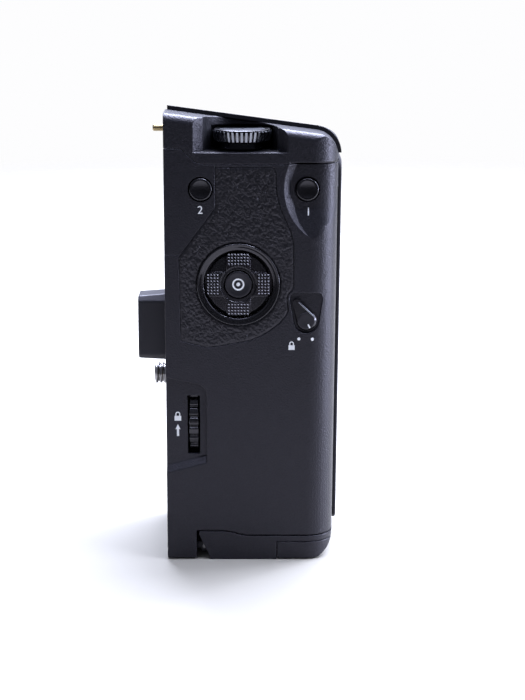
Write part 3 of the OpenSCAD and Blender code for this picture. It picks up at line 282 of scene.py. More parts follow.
class Finishes:
    """The finishes of the grip."""

    # Black paint on magnesium: fine sparkling grit on a charcoal ground. Real grit of 0.2 mm is drawn coarser to show
    PAINT = Finish(
        "painted_magnesium", "body_paint", Relief.GRIT, "#0d0d11", "#17181c",
        roughness=(0.34, 0.5), pitch=0.5, depth=0.045, ior=1.46,
    )
    # Glass-filled plastic of the same colour with a smoother mould texture
    CAP = Finish(
        "glass_filled_plastic", "shell_plastic", Relief.MOULDED, "#0f0f12", "#17181b",
        roughness=(0.38, 0.54), pitch=0.35, depth=0.012,
    )
    # Vinyl leatherette: satin pebbles that catch the light on their tops
    LEATHER = Finish(
        "vinyl_leatherette", "leatherette", Relief.LEATHER, "#0c0c0d", "#131315",
        roughness=(0.24, 0.42), pitch=0.9, depth=0.05,
    )
    # Moulded rubber: matt, a little dusty
    RUBBER = Finish(
        "moulded_rubber", "pad_rubber", Relief.MATT, "#0e0e0e", "#171718",
        roughness=(0.62, 0.85), pitch=0.3, depth=0.01, sheen=0.1,
    )
    # Polished black plastic: clear reflections, faint handling marks
    GLOSS = Finish(
        "polished_plastic", "gloss_black", Relief.POLISHED, "#060607", "#0b0b0c",
        roughness=(0.16, 0.3), pitch=0.8, depth=0.003, coat=0.3,
    )
    # Moulded plastic of keys and buttons: an even satin
    KEY = Finish(
        "satin_plastic", "key_plastic", Relief.MOULDED, "#0c0c0e", "#141416",
        roughness=(0.3, 0.44), pitch=0.3, depth=0.006,
    )
    # Black plated steel sheet: a dark half mirror with faint handling marks
    PLATE = Finish(
        "black_plated_steel", "dark_plate", Relief.POLISHED, "#17181a", "#202224",
        roughness=(0.3, 0.45), pitch=0.6, depth=0.004, metallic=0.6,
    )
    # Bright nickel plate: pale metal with the fine rings of the lathe
    STEEL = Finish(
        "nickel_plated_steel", "steel", Relief.TURNED, "#a5a4a4", "#85848a",
        roughness=(0.22, 0.4), pitch=0.25, depth=0.004, metallic=1.0,
    )
    # Turned brass: warm metal, a little tarnished
    BRASS = Finish(
        "turned_brass", "brass", Relief.TURNED, "#b7a581", "#857655",
        roughness=(0.25, 0.45), pitch=0.25, depth=0.004, metallic=1.0,
    )
    # Black chromium over turned ridges: a dark mirror that shows the bright floor as white bars. Along the lock lever's
    # edge it is a painted highlight
    CHROME = Finish(
        "black_chromium_plate", "dark_plate", Relief.POLISHED, "#8f929b", "#787b84",
        roughness=(0.16, 0.28), pitch=0.6, depth=0.002, metallic=1.0,
    )
    # Anodised aluminium of the dial's top: a pale even sheen
    SATIN = Finish(
        "satin_anodised_aluminium", "dark_plate", Relief.POLISHED, "#3c3e44", "#313339",
        roughness=(0.36, 0.5), pitch=0.4, depth=0.004, metallic=1.0,
    )
    # Moulded plastic of the inner frames: dull dark grey
    INNER = Finish(
        "moulded_polycarbonate", "inner_plastic", Relief.MOULDED, "#38393c", "#434548",
        roughness=(0.42, 0.6), pitch=0.5, depth=0.01,
    )
    # Glass epoxy board: green solder mask over copper tracks
    BOARD = Finish(
        "glass_epoxy_board", "board", Relief.TRACKS, "#1e5a3e", "#3f8a5c",
        roughness=(0.3, 0.5), pitch=2.2, depth=0.03,
    )
    # Nylon of the switches: pale and a little waxy
    PALE = Finish(
        "pale_nylon", "pale_plastic", Relief.MOULDED, "#dddcd6", "#c9c8c1",
        roughness=(0.4, 0.55), pitch=0.5, depth=0.006,
    )
    # White screen print, a touch uneven
    INK = Finish(
        "white_print", "pale_plastic", Relief.PRINTED, "#e9ebee", "#d5d8dc",
        roughness=(0.5, 0.65), pitch=0.2, depth=0.002,
    )


# A packed node takes the first finish of its slot
FINISH_BY_SLOT = {f.slot: f for f in reversed(vars(Finishes).values()) if isinstance(f, Finish)}


def body_of(node: str) -> str:
    """Name the body that carries a node of the packed model."""
    return frame["nodes"][node]["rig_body"]


def finish_of(node: str) -> Finish:
    """Find the finish of a node from its slot in the record."""
    return FINISH_BY_SLOT[next(p["material_slot"] for p in frame["record"]["subparts"] if p["node"] == node)]


def turned(axis: Vector) -> Matrix:
    """Give the turn that lays what stands up along another axis."""
    return UP.rotation_difference(axis).to_matrix().to_4x4()


def linked(name: str, data: bpy.types.ID) -> bpy.types.Object:
    """Make an object of some data, put it in the scene and return it."""
    made = bpy.data.objects.new(name, data)
    bpy.context.scene.collection.objects.link(made)
    return made


def settled(carrier: bpy.types.Object) -> bpy.types.Mesh:
    """Keep what an object's modifier or text makes, and remove the object.

    Args:
        carrier: The object.

    Returns:
        A plain mesh.
    """
    mesh = bpy.data.meshes.new_from_object(carrier.evaluated_get(bpy.context.evaluated_depsgraph_get()))
    carrier.modifiers.clear()
    bpy.data.objects.remove(carrier)
    return mesh


def plain(bm: bmesh.types.BMesh, name: str) -> bpy.types.Mesh:
    """Turn a working mesh into a plain one, and free it.

    Args:
        bm: The working mesh.
        name: The plain one's name.

    Returns:
        The plain mesh.
    """
    mesh = bpy.data.meshes.new(name)
    bm.to_mesh(mesh)
    bm.free()
    return mesh


def smoothed(bm: bmesh.types.BMesh, name: str, crease: float = SMOOTH_DEG) -> bpy.types.Mesh:
    """Turn a working mesh into a plain one with smooth faces and sharp creases, and free it.

    Args:
        bm: The working mesh.
        name: The plain one's name.
        crease: Angle in degrees from which an edge shows as a crease.

    Returns:
        The plain mesh.
    """
    mesh = plain(bm, name)
    mesh.polygons.foreach_set("use_smooth", [True] * len(mesh.polygons))
    mesh.set_sharp_from_angle(angle=math.radians(crease))
    return mesh


def piece(
    name: str, mesh: bpy.types.Mesh, finish: Finish, body: str, stands_for: Sequence[str] = (),
) -> bpy.types.Object:
    """Put a finished mesh in the scene as a piece of the grip.

    Args:
        name: The piece's name.
        mesh: Its mesh, with its place in it.
        finish: What it is made of.
        body: The body that it rides on.
        stands_for: Nodes of the packed model that it replaces.

    Returns:
        The piece's object.
    """
    mesh.name = name
    mesh.materials.clear()
    mesh.materials.append(finish.material())
    made = linked(name, mesh)
    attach(made, body)
    if stands_for:
        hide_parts(*stands_for)
    LOG.info("%s: %d faces on %s", name, len(mesh.polygons), body)
    return made


def merged(node: str) -> bmesh.types.BMesh:
    """Copy a node of the packed model with its triangles joined and its flats cleared.

    Args:
        node: The node's name.

    Returns:
        The working mesh.
    """
    bm = bmesh.new()
    bm.from_mesh(frame["nodes"][node].data)
    bmesh.ops.remove_doubles(bm, verts=bm.verts, dist=MERGE_MM * MM)
    bmesh.ops.dissolve_limit(
        bm, angle_limit=math.radians(FLAT_DEG), verts=bm.verts, edges=bm.edges, use_dissolve_boundaries=False,
    )
    return bm


def softened(
    node: str, edge: Edge, finish: Finish | None = None, shape: Callable[[bmesh.types.BMesh], None] | None = None,
    steps: int = 3, spare: Point | None = None, crease: float = SMOOTH_DEG,
) -> None:
    """Stand a piece in for a node, with its edges rounded as moulding and paint leave them.

    Args:
        node: The node's name.
        edge: How round its edges are.
        finish: What it is made of, if not what the record says.
        shape: Last work on the rounded mesh, if any.
        steps: Faces across a rounded edge; one gives a flat chamfer.
        spare: A point in millimetres of x, y and z near which edges stay as they are.
        crease: Angle in degrees from which an edge shows as a crease.
    """
    bm = merged(node)
    width = edge.value * MM
    creases = [
        e for e in bm.edges
        if e.is_manifold and e.calc_face_angle(0.0) > math.radians(CREASE_DEG)
        and e.calc_length() > width * SHORT_SHARE
        and not (spare and min((v.co - place(*spare)).length for v in e.verts) < SPARE_MM * MM)
    ]
    bmesh.ops.bevel(
        bm, geom=creases, offset=width, offset_type="OFFSET", segments=steps, profile=0.5, affect="EDGES",
        clamp_overlap=False, loop_slide=False, miter_outer="ARC", miter_inner="SHARP",
    )
    if shape:
        shape(bm)
    made = piece(f"{node}_finished", smoothed(bm, node, crease), finish or finish_of(node), body_of(node), (node,))
    weighted = made.modifiers.new("even_shading", "WEIGHTED_NORMAL")
    weighted.keep_sharp = True
    weighted.weight = FACE_WEIGHT


def sliced(bm: bmesh.types.BMesh, step: float = 4.0) -> None:
    """Cut long faces across at even heights, so that their shading stays true.

    Args:
        bm: The mesh.
        step: Height of a slice in millimetres.
    """
    heights = [v.co.z for v in bm.verts]
    level = min(heights) + step * MM
    while level < max(heights):
        parts = [*bm.verts, *bm.edges, *bm.faces]
        bmesh.ops.bisect_plane(bm, geom=parts, plane_co=(0.0, 0.0, level), plane_no=UP, dist=1e-7)
        level += step * MM


def dished(bm: bmesh.types.BMesh, depth: float, rings: int = 6, reach: float = 0.96) -> None:
    """Hollow the flat front of a round button to a shallow dish.

    Args:
        bm: The button's mesh.
        depth: Depth of the dish in millimetres.
        rings: Steps from its rim to its middle.
        reach: How far in the steps go, as a share of the radius.
    """
    first = min(v.co.y for v in bm.verts)
    front = max(
        (f for f in bm.faces if f.normal.y < -0.95 and f.calc_center_median().y < first + 0.1 * MM),
        key=lambda f: f.calc_area(),
    )
    radius = math.sqrt(front.calc_area() / math.pi)
    spans = [1 - reach * k / rings for k in range(rings + 1)]
    for outer, inner in zip(spans, spans[1:]):
        bmesh.ops.inset_individual(
            bm, faces=[front], thickness=(outer - inner) * radius, depth=-(outer ** 2 - inner ** 2) * depth * MM,
        )


def lathe(profile: Outline, steps: int, centre: Vector, axis: Vector) -> bmesh.types.BMesh:
    """Turn a profile about an axis.

    Args:
        profile: Points of radius and height in millimetres, from the axis round to the axis.
        steps: Faces round the axis.
        centre: The profile's zero in the packed frame.
        axis: Direction of the profile's height.

    Returns:
        The working mesh.
    """
    bm = bmesh.new()
    rings = []
    for radius, height in profile:
        turns = [2 * math.pi * k / steps for k in range(steps if radius else 1)]
        rings.append([bm.verts.new((radius * MM * math.cos(t), radius * MM * math.sin(t), height * MM)) for t in turns])
    for low, high in zip(rings, rings[1:]):
        for k in range(steps):
            ring = [low[k % len(low)], low[(k + 1) % len(low)], high[(k + 1) % len(high)], high[k % len(high)]]
            corners = list(dict.fromkeys(ring))
            if len(corners) > 2:
                bm.faces.new(corners)
    bmesh.ops.recalc_face_normals(bm, faces=bm.faces)
    bmesh.ops.transform(bm, matrix=Matrix.Translation(centre) @ turned(axis), verts=bm.verts)
    return bm


@dataclass
class Rule:
    """A Geometry Nodes tree with named sizes, run once and kept as a plain mesh.

    Attributes:
        name: What the tree makes.
        sizes: Its inputs, lengths in metres and counts as whole numbers.
        finish: What the result is made of.
        recipe: Adds the tree's nodes and returns what gives the shape.
    """

    name: str
    sizes: dict[str, float | int]
    finish: Finish
    recipe: Callable[[bpy.types.NodeTree, dict[str, bpy.types.NodeSocket]], Source]

    def mesh(self) -> bpy.types.Mesh:
        """Build the tree and run it.

        Returns:
            What it makes.
        """
        tree = bpy.data.node_groups.new(self.name, "GeometryNodeTree")
        kinds = {int: "NodeSocketInt", float: "NodeSocketFloat"}
        keys = {
            label: tree.interface.new_socket(name=label, in_out="INPUT", socket_type=kinds[type(value)]).identifier
            for label, value in self.sizes.items()
        }
        tree.interface.new_socket(name="Geometry", in_out="OUTPUT", socket_type="NodeSocketGeometry")
        given = add(tree, "NodeGroupInput")
        shape = self.recipe(tree, {label: given.outputs[label] for label in self.sizes})
        real = add(tree, "GeometryNodeRealizeInstances", links={0: shape})
        dressed = add(tree, "GeometryNodeSetMaterial", {"Material": self.finish.material()}, {0: real})
        add(tree, "NodeGroupOutput", links={0: dressed})
        carrier = linked(self.name, bpy.data.meshes.new(self.name))
        modifier = carrier.modifiers.new("rule", "NODES")
        modifier.node_group = tree
        for label, value in self.sizes.items():
            modifier[keys[label]] = value
        return settled(carrier)


@dataclass
class Housing:
    """The shells: covers, plates, foot block and the rubber of the base and the grip.

    Attributes:
        covers: The painted covers.
        plates: The plates and the block at the foot.
        cover_edge: How round the covers' edges are.
        plate_edge: How round the plates' edges are.
        scoop_foot: Where the scoop round a button runs out, and edges stay as they are.
        fold: Angle in degrees from which the covers show a crease.
    """

    covers: tuple[str, ...] = ("rear_cover", "front_cover", "base_cover", "top_cover", "control_cover")
    plates: tuple[str, ...] = ("deck_plate", "hinge_block", "mount_plate")
    cover_edge: Edge = Edge.FINE
    plate_edge: Edge = Edge.CRISP
    scoop_foot: Point = (41.8, 0.0, 97.0)
    fold: float = 11.0

    def build(self) -> None:
        """Round the edges of the covers, plates and pads."""
        for node in self.covers:
            softened(node, self.cover_edge, shape=sliced, spare=self.scoop_foot, crease=self.fold)
        for node in self.plates:
            softened(node, self.plate_edge)
        softened("base_pad", Edge.SOFT)
        softened("grip_pad", Edge.FINE)


@dataclass
class LeatherPanel:
    """The leatherette on the rear face, with its grain as real relief.

    Attributes:
        node: The panel's node.
        step: Spacing of the relief's points in millimetres.
        clear: How far the points stay from the outline, in steps.
        grain: Width of a pebble of the grain in millimetres.
        stretch: How much longer the pebbles are than wide.
        lean: Angle of their long side from upright, in degrees.
        bend: How far they are bent out of rows, in their widths.
        crease: Width of the creases between them, in their widths.
        fine: Fine bumps on them to a millimetre.
        fine_share: Share of the fine bumps in the relief.
        height: Height of the relief in millimetres.
        roll: Width of the rolled edge in millimetres.
        drop: Depth of the rolled edge in millimetres.
        thickness: Thickness of the sheet in millimetres.
        seed: Fixes the chance in the bend of the pebbles.
    """

    node: str = "rear_panel"
    step: float = 0.29
    clear: float = 0.6
    grain: float = 0.85
    stretch: float = 2.1
    lean: float = 32.0
    bend: float = 0.55
    crease: float = 0.42
    fine: float = 2.3
    fine_share: float = 0.15
    height: float = 0.24
    roll: float = 0.9
    drop: float = 0.3
    thickness: float = 0.75
    seed: int = 11

    def loops(self) -> list[Outline]:
        """Read the panel's outline and holes from its node.

        Returns:
            Rings of points in metres of x and z.
        """
        bm = merged(self.node)
        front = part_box(self.node)[0].y
        uses: dict[frozenset, int] = {}
        for face in bm.faces:
            if face.normal.y < -0.99 and abs(face.calc_center_median().y - front) < 0.05 * MM:
                for edge in face.edges:
                    key = frozenset(v.index for v in edge.verts)
                    uses[key] = uses.get(key, 0) + 1
        spots = {v.index: (v.co.x, v.co.z) for v in bm.verts}
        bm.free()
        after: dict[int, list[int]] = {}
        for key, count in uses.items():
            if count == 1:
                a, b = tuple(key)
                after.setdefault(a, []).append(b)
                after.setdefault(b, []).append(a)
        found = []
        while after:
            start = next(iter(after))
            ring, here, back = [start], start, None
            while True:
                ahead = next((n for n in after[here] if n != back), None)
                if ahead is None or ahead == start:
                    break
                ring.append(ahead)
                back, here = here, ahead
            for k in ring:
                after.pop(k, None)
            found.append([spots[k] for k in ring])
        return found

    def relief(self, x: float, z: float) -> float:
        """Give the height of the grain at a point of the panel.

        Args:
            x: The point's x in millimetres.
            z: The point's z in millimetres.

        Returns:
            The height, from about zero to one.
        """
        turn = math.radians(self.lean)
        across = (x * math.cos(turn) + z * math.sin(turn)) / self.grain
        along = (z * math.cos(turn) - x * math.sin(turn)) / (self.grain * self.stretch)
        # The bend is slower than the pebbles, and the last values of the points pick layers of the noise
        bend = noise.noise_vector(Vector((across * 0.7, along * 0.9, 3.0)))
        near = noise.voronoi(Vector((across + self.bend * bend.x, along + self.bend * bend.y, 0.0)))[0]
        crease = min(1.0, (near[1] - near[0]) / self.crease)
        fine = noise.noise(Vector((x * self.fine, z * self.fine, 7.0)))
        return crease * (2 - crease) * (1 - self.fine_share) + self.fine_share * fine

    def build(self) -> None:
        """Fill the outline with fine triangles and raise the grain."""
        noise.seed_set(self.seed)
        loops = [np.array(loop) / MM for loop in self.loops()]
        starts = np.concatenate(loops)
        ends = np.concatenate([np.roll(loop, -1, axis=0) for loop in loops])
        low, high = starts.min(0), starts.max(0)
        grid = np.stack(np.meshgrid(np.arange(low[0], high[0], self.step), np.arange(low[1], high[1], self.step)), -1)
        grid[1::2, :, 0] += self.step / 2
        points = grid.reshape(-1, 2)
        clear = self.edge_distance(points, starts, ends) > self.step * self.clear
        points = points[self.inside(points, starts, ends) & clear]
        rim, rim_edges = self.rim(loops)
        spots = [Vector(p) for p in np.concatenate([rim, points])]
        verts, _, faces, *_ = delaunay_2d_cdt(spots, rim_edges, [], 0, 1e-5)
        flat = np.array([(v.x, v.y) for v in verts])
        keep = self.inside(np.array([flat[list(f)].mean(0) for f in faces]), starts, ends)
        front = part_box(self.node)[0].y
        bm = bmesh.new()
        made = []
        for (x, z), room in zip(flat, self.edge_distance(flat, starts, ends)):
            rise = min(1.0, room / self.roll)
            depth = self.drop * (1 - rise) ** 2 - self.height * rise * (self.relief(x, z) - 0.5)
            made.append(bm.verts.new((x * MM, front + depth * MM, z * MM)))
        for face, wanted in zip(faces, keep):
            if wanted:
                bm.faces.new([made[k] for k in face])
        bmesh.ops.delete(bm, geom=[v for v in bm.verts if not v.link_faces], context="VERTS")
        bmesh.ops.recalc_face_normals(bm, faces=bm.faces)
        if sum(f.normal.y for f in bm.faces) > 0:
            bmesh.ops.reverse_faces(bm, faces=bm.faces)
        self.close(bm)
        piece("rear_panel_leather", smoothed(bm, self.node), Finishes.LEATHER, body_of(self.node), (self.node,))

    def close(self, bm: bmesh.types.BMesh) -> None:
        """Give the sheet its thickness, with a flat back.

        Args:
            bm: The sheet's front.
        """
        back = bmesh.ops.duplicate(bm, geom=bm.verts[:] + bm.edges[:] + bm.faces[:])
        pairs = back["vert_map"]
        copies = {g for g in back["geom"] if isinstance(g, bmesh.types.BMVert)}
        for vert in copies:
            vert.co.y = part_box(self.node)[0].y + self.thickness * MM
        bmesh.ops.reverse_faces(bm, faces=[g for g in back["geom"] if isinstance(g, bmesh.types.BMFace)])
        for a, b in [e.verts for e in bm.edges if e.is_boundary and not copies.intersection(e.verts)]:
            bm.faces.new((a, b, pairs[b], pairs[a]))
        bmesh.ops.recalc_face_normals(bm, faces=bm.faces)

    def rim(self, loops: Sequence[np.ndarray]) -> tuple[np.ndarray, list[tuple[int, int]]]:
        """Break the outline into steps, with the edges that join them.

        Args:
            loops: Rings of points in millimetres.

        Returns:
            The points and the pairs of their numbers.
        """
        spots, pairs = [], []
        for loop in loops:
            first = len(spots)
            for a, b in zip(loop, np.roll(loop, -1, axis=0)):
                parts = max(1, round(float(np.hypot(*(b - a))) / self.step))
                spots += [a + (b - a) * k / parts for k in range(parts)]
            pairs += [(k, k + 1 if k + 1 < len(spots) else first) for k in range(first, len(spots))]
        return np.array(spots), pairs

    @staticmethod
    def inside(points: np.ndarray, starts: np.ndarray, ends: np.ndarray) -> np.ndarray:
        """Tell which points lie in the outline and out of its holes.

        Args:
            points: The points.
            starts: Where each side of the outline starts.
            ends: Where each side ends.

        Returns:
            True for each point that lies inside.
        """
        crossed = np.zeros(len(points), int)
        for (ax, az), (bx, bz) in zip(starts, ends):
            spans = (az > points[:, 1]) != (bz > points[:, 1])
            with np.errstate(divide="ignore", invalid="ignore"):
                cut = ax + (points[:, 1] - az) * (bx - ax) / (bz - az)
            crossed += spans & (points[:, 0] < cut)
        return crossed % 2 == 1

    @staticmethod
    def edge_distance(points: np.ndarray, starts: np.ndarray, ends: np.ndarray) -> np.ndarray:
        """Measure how far points lie from the outline.

        Args:
            points: The points.
            starts: Where each side of the outline starts.
            ends: Where each side ends.

        Returns:
            Each point's distance.
        """
        best = np.full(len(points), np.inf)
        for a, b in zip(starts, ends):
            run = b - a
            share = np.clip(((points - a) @ run) / max(float(run @ run), 1e-12), 0, 1)
            best = np.minimum(best, np.hypot(*(points - a - share[:, None] * run).T))
        return best


@dataclass
class ThumbDial:
    """The rear dial: a polished turned body whose rim leans out, with plated ridges round it.

    Attributes:
        node: The dial's node.
        teeth: Ridges round the rim.
        rim: Radius of the rim at its top, in millimetres as the other sizes.
        taper: How much smaller the rim is at its foot.
        band: Height of the rim.
        roll: Rounding of the rim's foot.
        ridge: Width of a ridge.
        stand: How far a ridge stands out of the rim.
        chamfer: Width of the chamfer round the top.
        dish: Depth of the hollow in the top.
        dish_r: Radius of the hollow.
        lip: Width of the hollow's slope.
        skirt_r: Radius of the skirt under the rim.
        skirt_cut: Chamfer of the skirt's foot.
        fillet: Rounding between the skirt and the rim.
    """

    node: str = "rear_dial"
    teeth: int = 40
    rim: float = 8.3
    taper: float = 0.75
    band: float = 3.5
    roll: float = 0.2
    ridge: float = 0.62
    stand: float = 0.34
    chamfer: float = 0.45
    dish: float = 0.25
    dish_r: float = 6.6
    lip: float = 0.4
    skirt_r: float = 6.3
    skirt_cut: float = 0.3
    fillet: float = 0.35

    def build(self) -> None:
        """Turn the cap and the body, and set the ridges on the rim."""
        low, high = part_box(self.node)
        foot_point = Vector(((low.x + high.x) / 2, (low.y + high.y) / 2, low.z))
        tall = (high.z - low.z) / MM
        foot, deep, run = tall - self.band, tall - self.dish, self.band - self.chamfer
        rim, toe, cut, hollow, skirt = self.rim, self.rim - self.taper, self.chamfer, self.dish_r, self.skirt_r
        # The cap is a thin disc in the hollow, highest near its rim
        disc = [
            (0, deep - 0.1), (hollow - 0.05, deep - 0.1), (hollow - 0.05, deep + 0.1), (hollow - 0.2, deep + 0.16),
            (hollow * 0.6, deep + 0.08), (0, deep + 0.05),
        ]
        cap = lathe(disc, 64, foot_point, UP)
        piece("rear_dial_cap", smoothed(cap, "dial_cap"), Finishes.SATIN, body_of(self.node))
        profile = [
            (0, 0), (skirt - self.skirt_cut, 0), (skirt, self.skirt_cut), (skirt, foot - self.fillet),
            (skirt + self.fillet, foot), (toe - self.roll, foot), (toe, foot + self.roll), (rim, tall - cut),
            (rim - cut * 0.3, tall - cut * 0.3), (rim - cut, tall), (hollow + self.lip, tall), (hollow, deep),
            (0, deep),
        ]
        body = lathe(profile, 96, foot_point, UP)
        piece("rear_dial_body", smoothed(body, self.node), Finishes.GLOSS, body_of(self.node), (self.node,))
        rule = Rule(
            "dial_ridges",
            {"Teeth": self.teeth, "Rim": (rim - self.taper / 2) * MM, "Width": self.ridge * MM,
             "Depth": self.stand * 2 * MM, "Length": (run - self.roll) * MM, "Lean": math.atan(self.taper / run)},
            Finishes.CHROME, self.recipe,
        )
        mesh = rule.mesh()
        middle = (foot + run / 2 + self.roll / 2) * MM
        mesh.transform(Matrix.Translation((foot_point.x, foot_point.y, low.z + middle)))
        piece("rear_dial_ridges", mesh, Finishes.CHROME, body_of(self.node))

    @staticmethod
    def recipe(tree: bpy.types.NodeTree, sizes: dict[str, bpy.types.NodeSocket]) -> Source:
        """Stand square bars on the leaning rim, half sunk in it.

        Args:
            tree: The tree that takes the nodes.
            sizes: The tree's inputs.

        Returns:
            What gives the shape.
        """
        circle = add(tree, "GeometryNodeMeshCircle", links={"Vertices": sizes["Teeth"], "Radius": sizes["Rim"]})
        size = add(tree, "ShaderNodeCombineXYZ", links={"X": sizes["Depth"], "Y": sizes["Width"], "Z": sizes["Length"]})
        bar = add(tree, "GeometryNodeMeshCube", links={"Size": size})
        step = add(tree, "ShaderNodeMath", {"operation": "DIVIDE", 0: 2 * math.pi}, {1: sizes["Teeth"]})
        place_in_ring = add(tree, "GeometryNodeInputIndex")
        angle = add(tree, "ShaderNodeMath", {"operation": "MULTIPLY"}, {0: place_in_ring, 1: step})
        turn = add(tree, "ShaderNodeCombineXYZ", links={"Y": sizes["Lean"], "Z": angle})
        spread = {"Points": circle, "Instance": bar, "Rotation": turn}
        return add(tree, "GeometryNodeInstanceOnPoints", links=spread)


@dataclass
class ArrowPad:
    """The four-way pad: gloss bezel, keys with pips, centre button.

    Attributes:
        columns: Pips along a key.
        rows: Pips across a key.
        pitch: Spacing of the pips, in millimetres as the other sizes.
        pip_r: Radius of a pip's foot over its corners.
        pip_top: Radius of its flat top.
        pip_h: Height of a pip.
        pip_sunk: How far the pips' middle is sunk in the keys.
        key_middle: Distance of a key's middle from the pad's.
        dish: Depth of the hollow in the centre button.
        ring: Radii of the bezel.
        crown: Depth of the bezel's crown.
        crest: Where its highest ring lies, from its inner rim to its outer one.
        fall: Depth that its face would fall from the outer rim to the inner one.
        outer_roll: Depth of the roll at the outer rim, before the crest's share of it.
        inner_roll: Width of the roll at the inner rim, and its slope.
    """

    columns: int = 7
    rows: int = 4
    pitch: float = 0.9
    pip_r: float = 0.43
    pip_top: float = 0.12
    pip_h: float = 0.205
    pip_sunk: float = 0.04
    key_middle: float = 7.3
    dish: float = 0.3
    ring: tuple[float, float] = (9.9, 12.0)
    crown: float = 0.6
    crest: float = 0.88
    fall: float = 0.45
    outer_roll: float = 3.6
    inner_roll: tuple[float, float] = (0.1, 2.5)

    def build(self) -> None:
        """Round the pad's pieces and set the pips on its keys."""
        softened("pad_bezel", Edge.CRISP, shape=self.coned)
        softened("arrow_pad", Edge.FINE, Finishes.GLOSS)
        softened("ok_button", Edge.FINE, shape=lambda bm: dished(bm, self.dish))
        rule = Rule(
            "key_pips",
            {"Columns": self.columns, "Rows": self.rows, "Pitch": self.pitch * MM, "Pip": self.pip_r * MM,
             "Top": self.pip_top * MM, "Height": self.pip_h * MM, "Middle": self.key_middle * MM},
            Finishes.GLOSS, self.recipe,
        )
        mesh = rule.mesh()
        low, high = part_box("arrow_pad")
        middle = (low + high) / 2
        mesh.transform(Matrix.Translation((middle.x, low.y + self.pip_sunk * MM, middle.z)) @ UPRIGHT)
        piece("arrow_pad_pips", mesh, Finishes.GLOSS, "arrow_pad")

    def coned(self, bm: bmesh.types.BMesh) -> None:
        """Turn the bezel's round crown into a broad face that falls inward, with a small roll at each rim.

        Args:
            bm: The bezel's mesh.
        """
        low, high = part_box("pad_bezel")
        middle = (low + high) / 2
        inner, outer = self.ring
        width, slope = self.inner_roll
        for vert in bm.verts:
            across = (math.hypot(vert.co.x - middle.x, vert.co.z - middle.z) / MM - inner) / (outer - inner)
            if vert.co.y < low.y + self.crown * MM and -0.02 < across < 1.02:
                past = across - self.crest
                fall = -self.fall * past if past < 0 else self.outer_roll * past ** 2 / (1 - self.crest)
                vert.co.y = low.y + (fall + max(0.0, width - across) * slope) * MM

    @staticmethod
    def recipe(tree: bpy.types.NodeTree, sizes: dict[str, bpy.types.NodeSocket]) -> Source:
        """Lay a grid of small pyramids on each of four keys round the middle.

        Args:
            tree: The tree that takes the nodes.
            sizes: The tree's inputs.

        Returns:
            What gives the shape.
        """
        links = {"Vertices X": sizes["Columns"], "Vertices Y": sizes["Rows"]}
        for label, side in (("Columns", "Size X"), ("Rows", "Size Y")):
            gaps = add(tree, "ShaderNodeMath", {"operation": "SUBTRACT", 1: 1.0}, {0: sizes[label]})
            links[side] = add(tree, "ShaderNodeMath", {"operation": "MULTIPLY"}, {0: gaps, 1: sizes["Pitch"]})
        grid = add(tree, "GeometryNodeMeshGrid", links=links)
        point = add(
            tree, "GeometryNodeMeshCone", {"Vertices": 4},
            {"Radius Top": sizes["Top"], "Radius Bottom": sizes["Pip"], "Depth": sizes["Height"]},
        )
        pips = add(
            tree, "GeometryNodeInstanceOnPoints", {"Rotation": (0.0, 0.0, math.pi / 4)},
            {"Points": grid, "Instance": point},
        )
        keys = add(tree, "GeometryNodeMeshCircle", {"Vertices": 4}, {"Radius": sizes["Middle"]})
        quarter = {"operation": "MULTIPLY_ADD", 1: math.pi / 2, 2: math.pi / 2}
        angle = add(tree, "ShaderNodeMath", quarter, {0: add(tree, "GeometryNodeInputIndex")})
        turn = add(tree, "ShaderNodeCombineXYZ", links={"Z": angle})
        return add(tree, "GeometryNodeInstanceOnPoints", links={"Points": keys, "Instance": pips, "Rotation": turn})


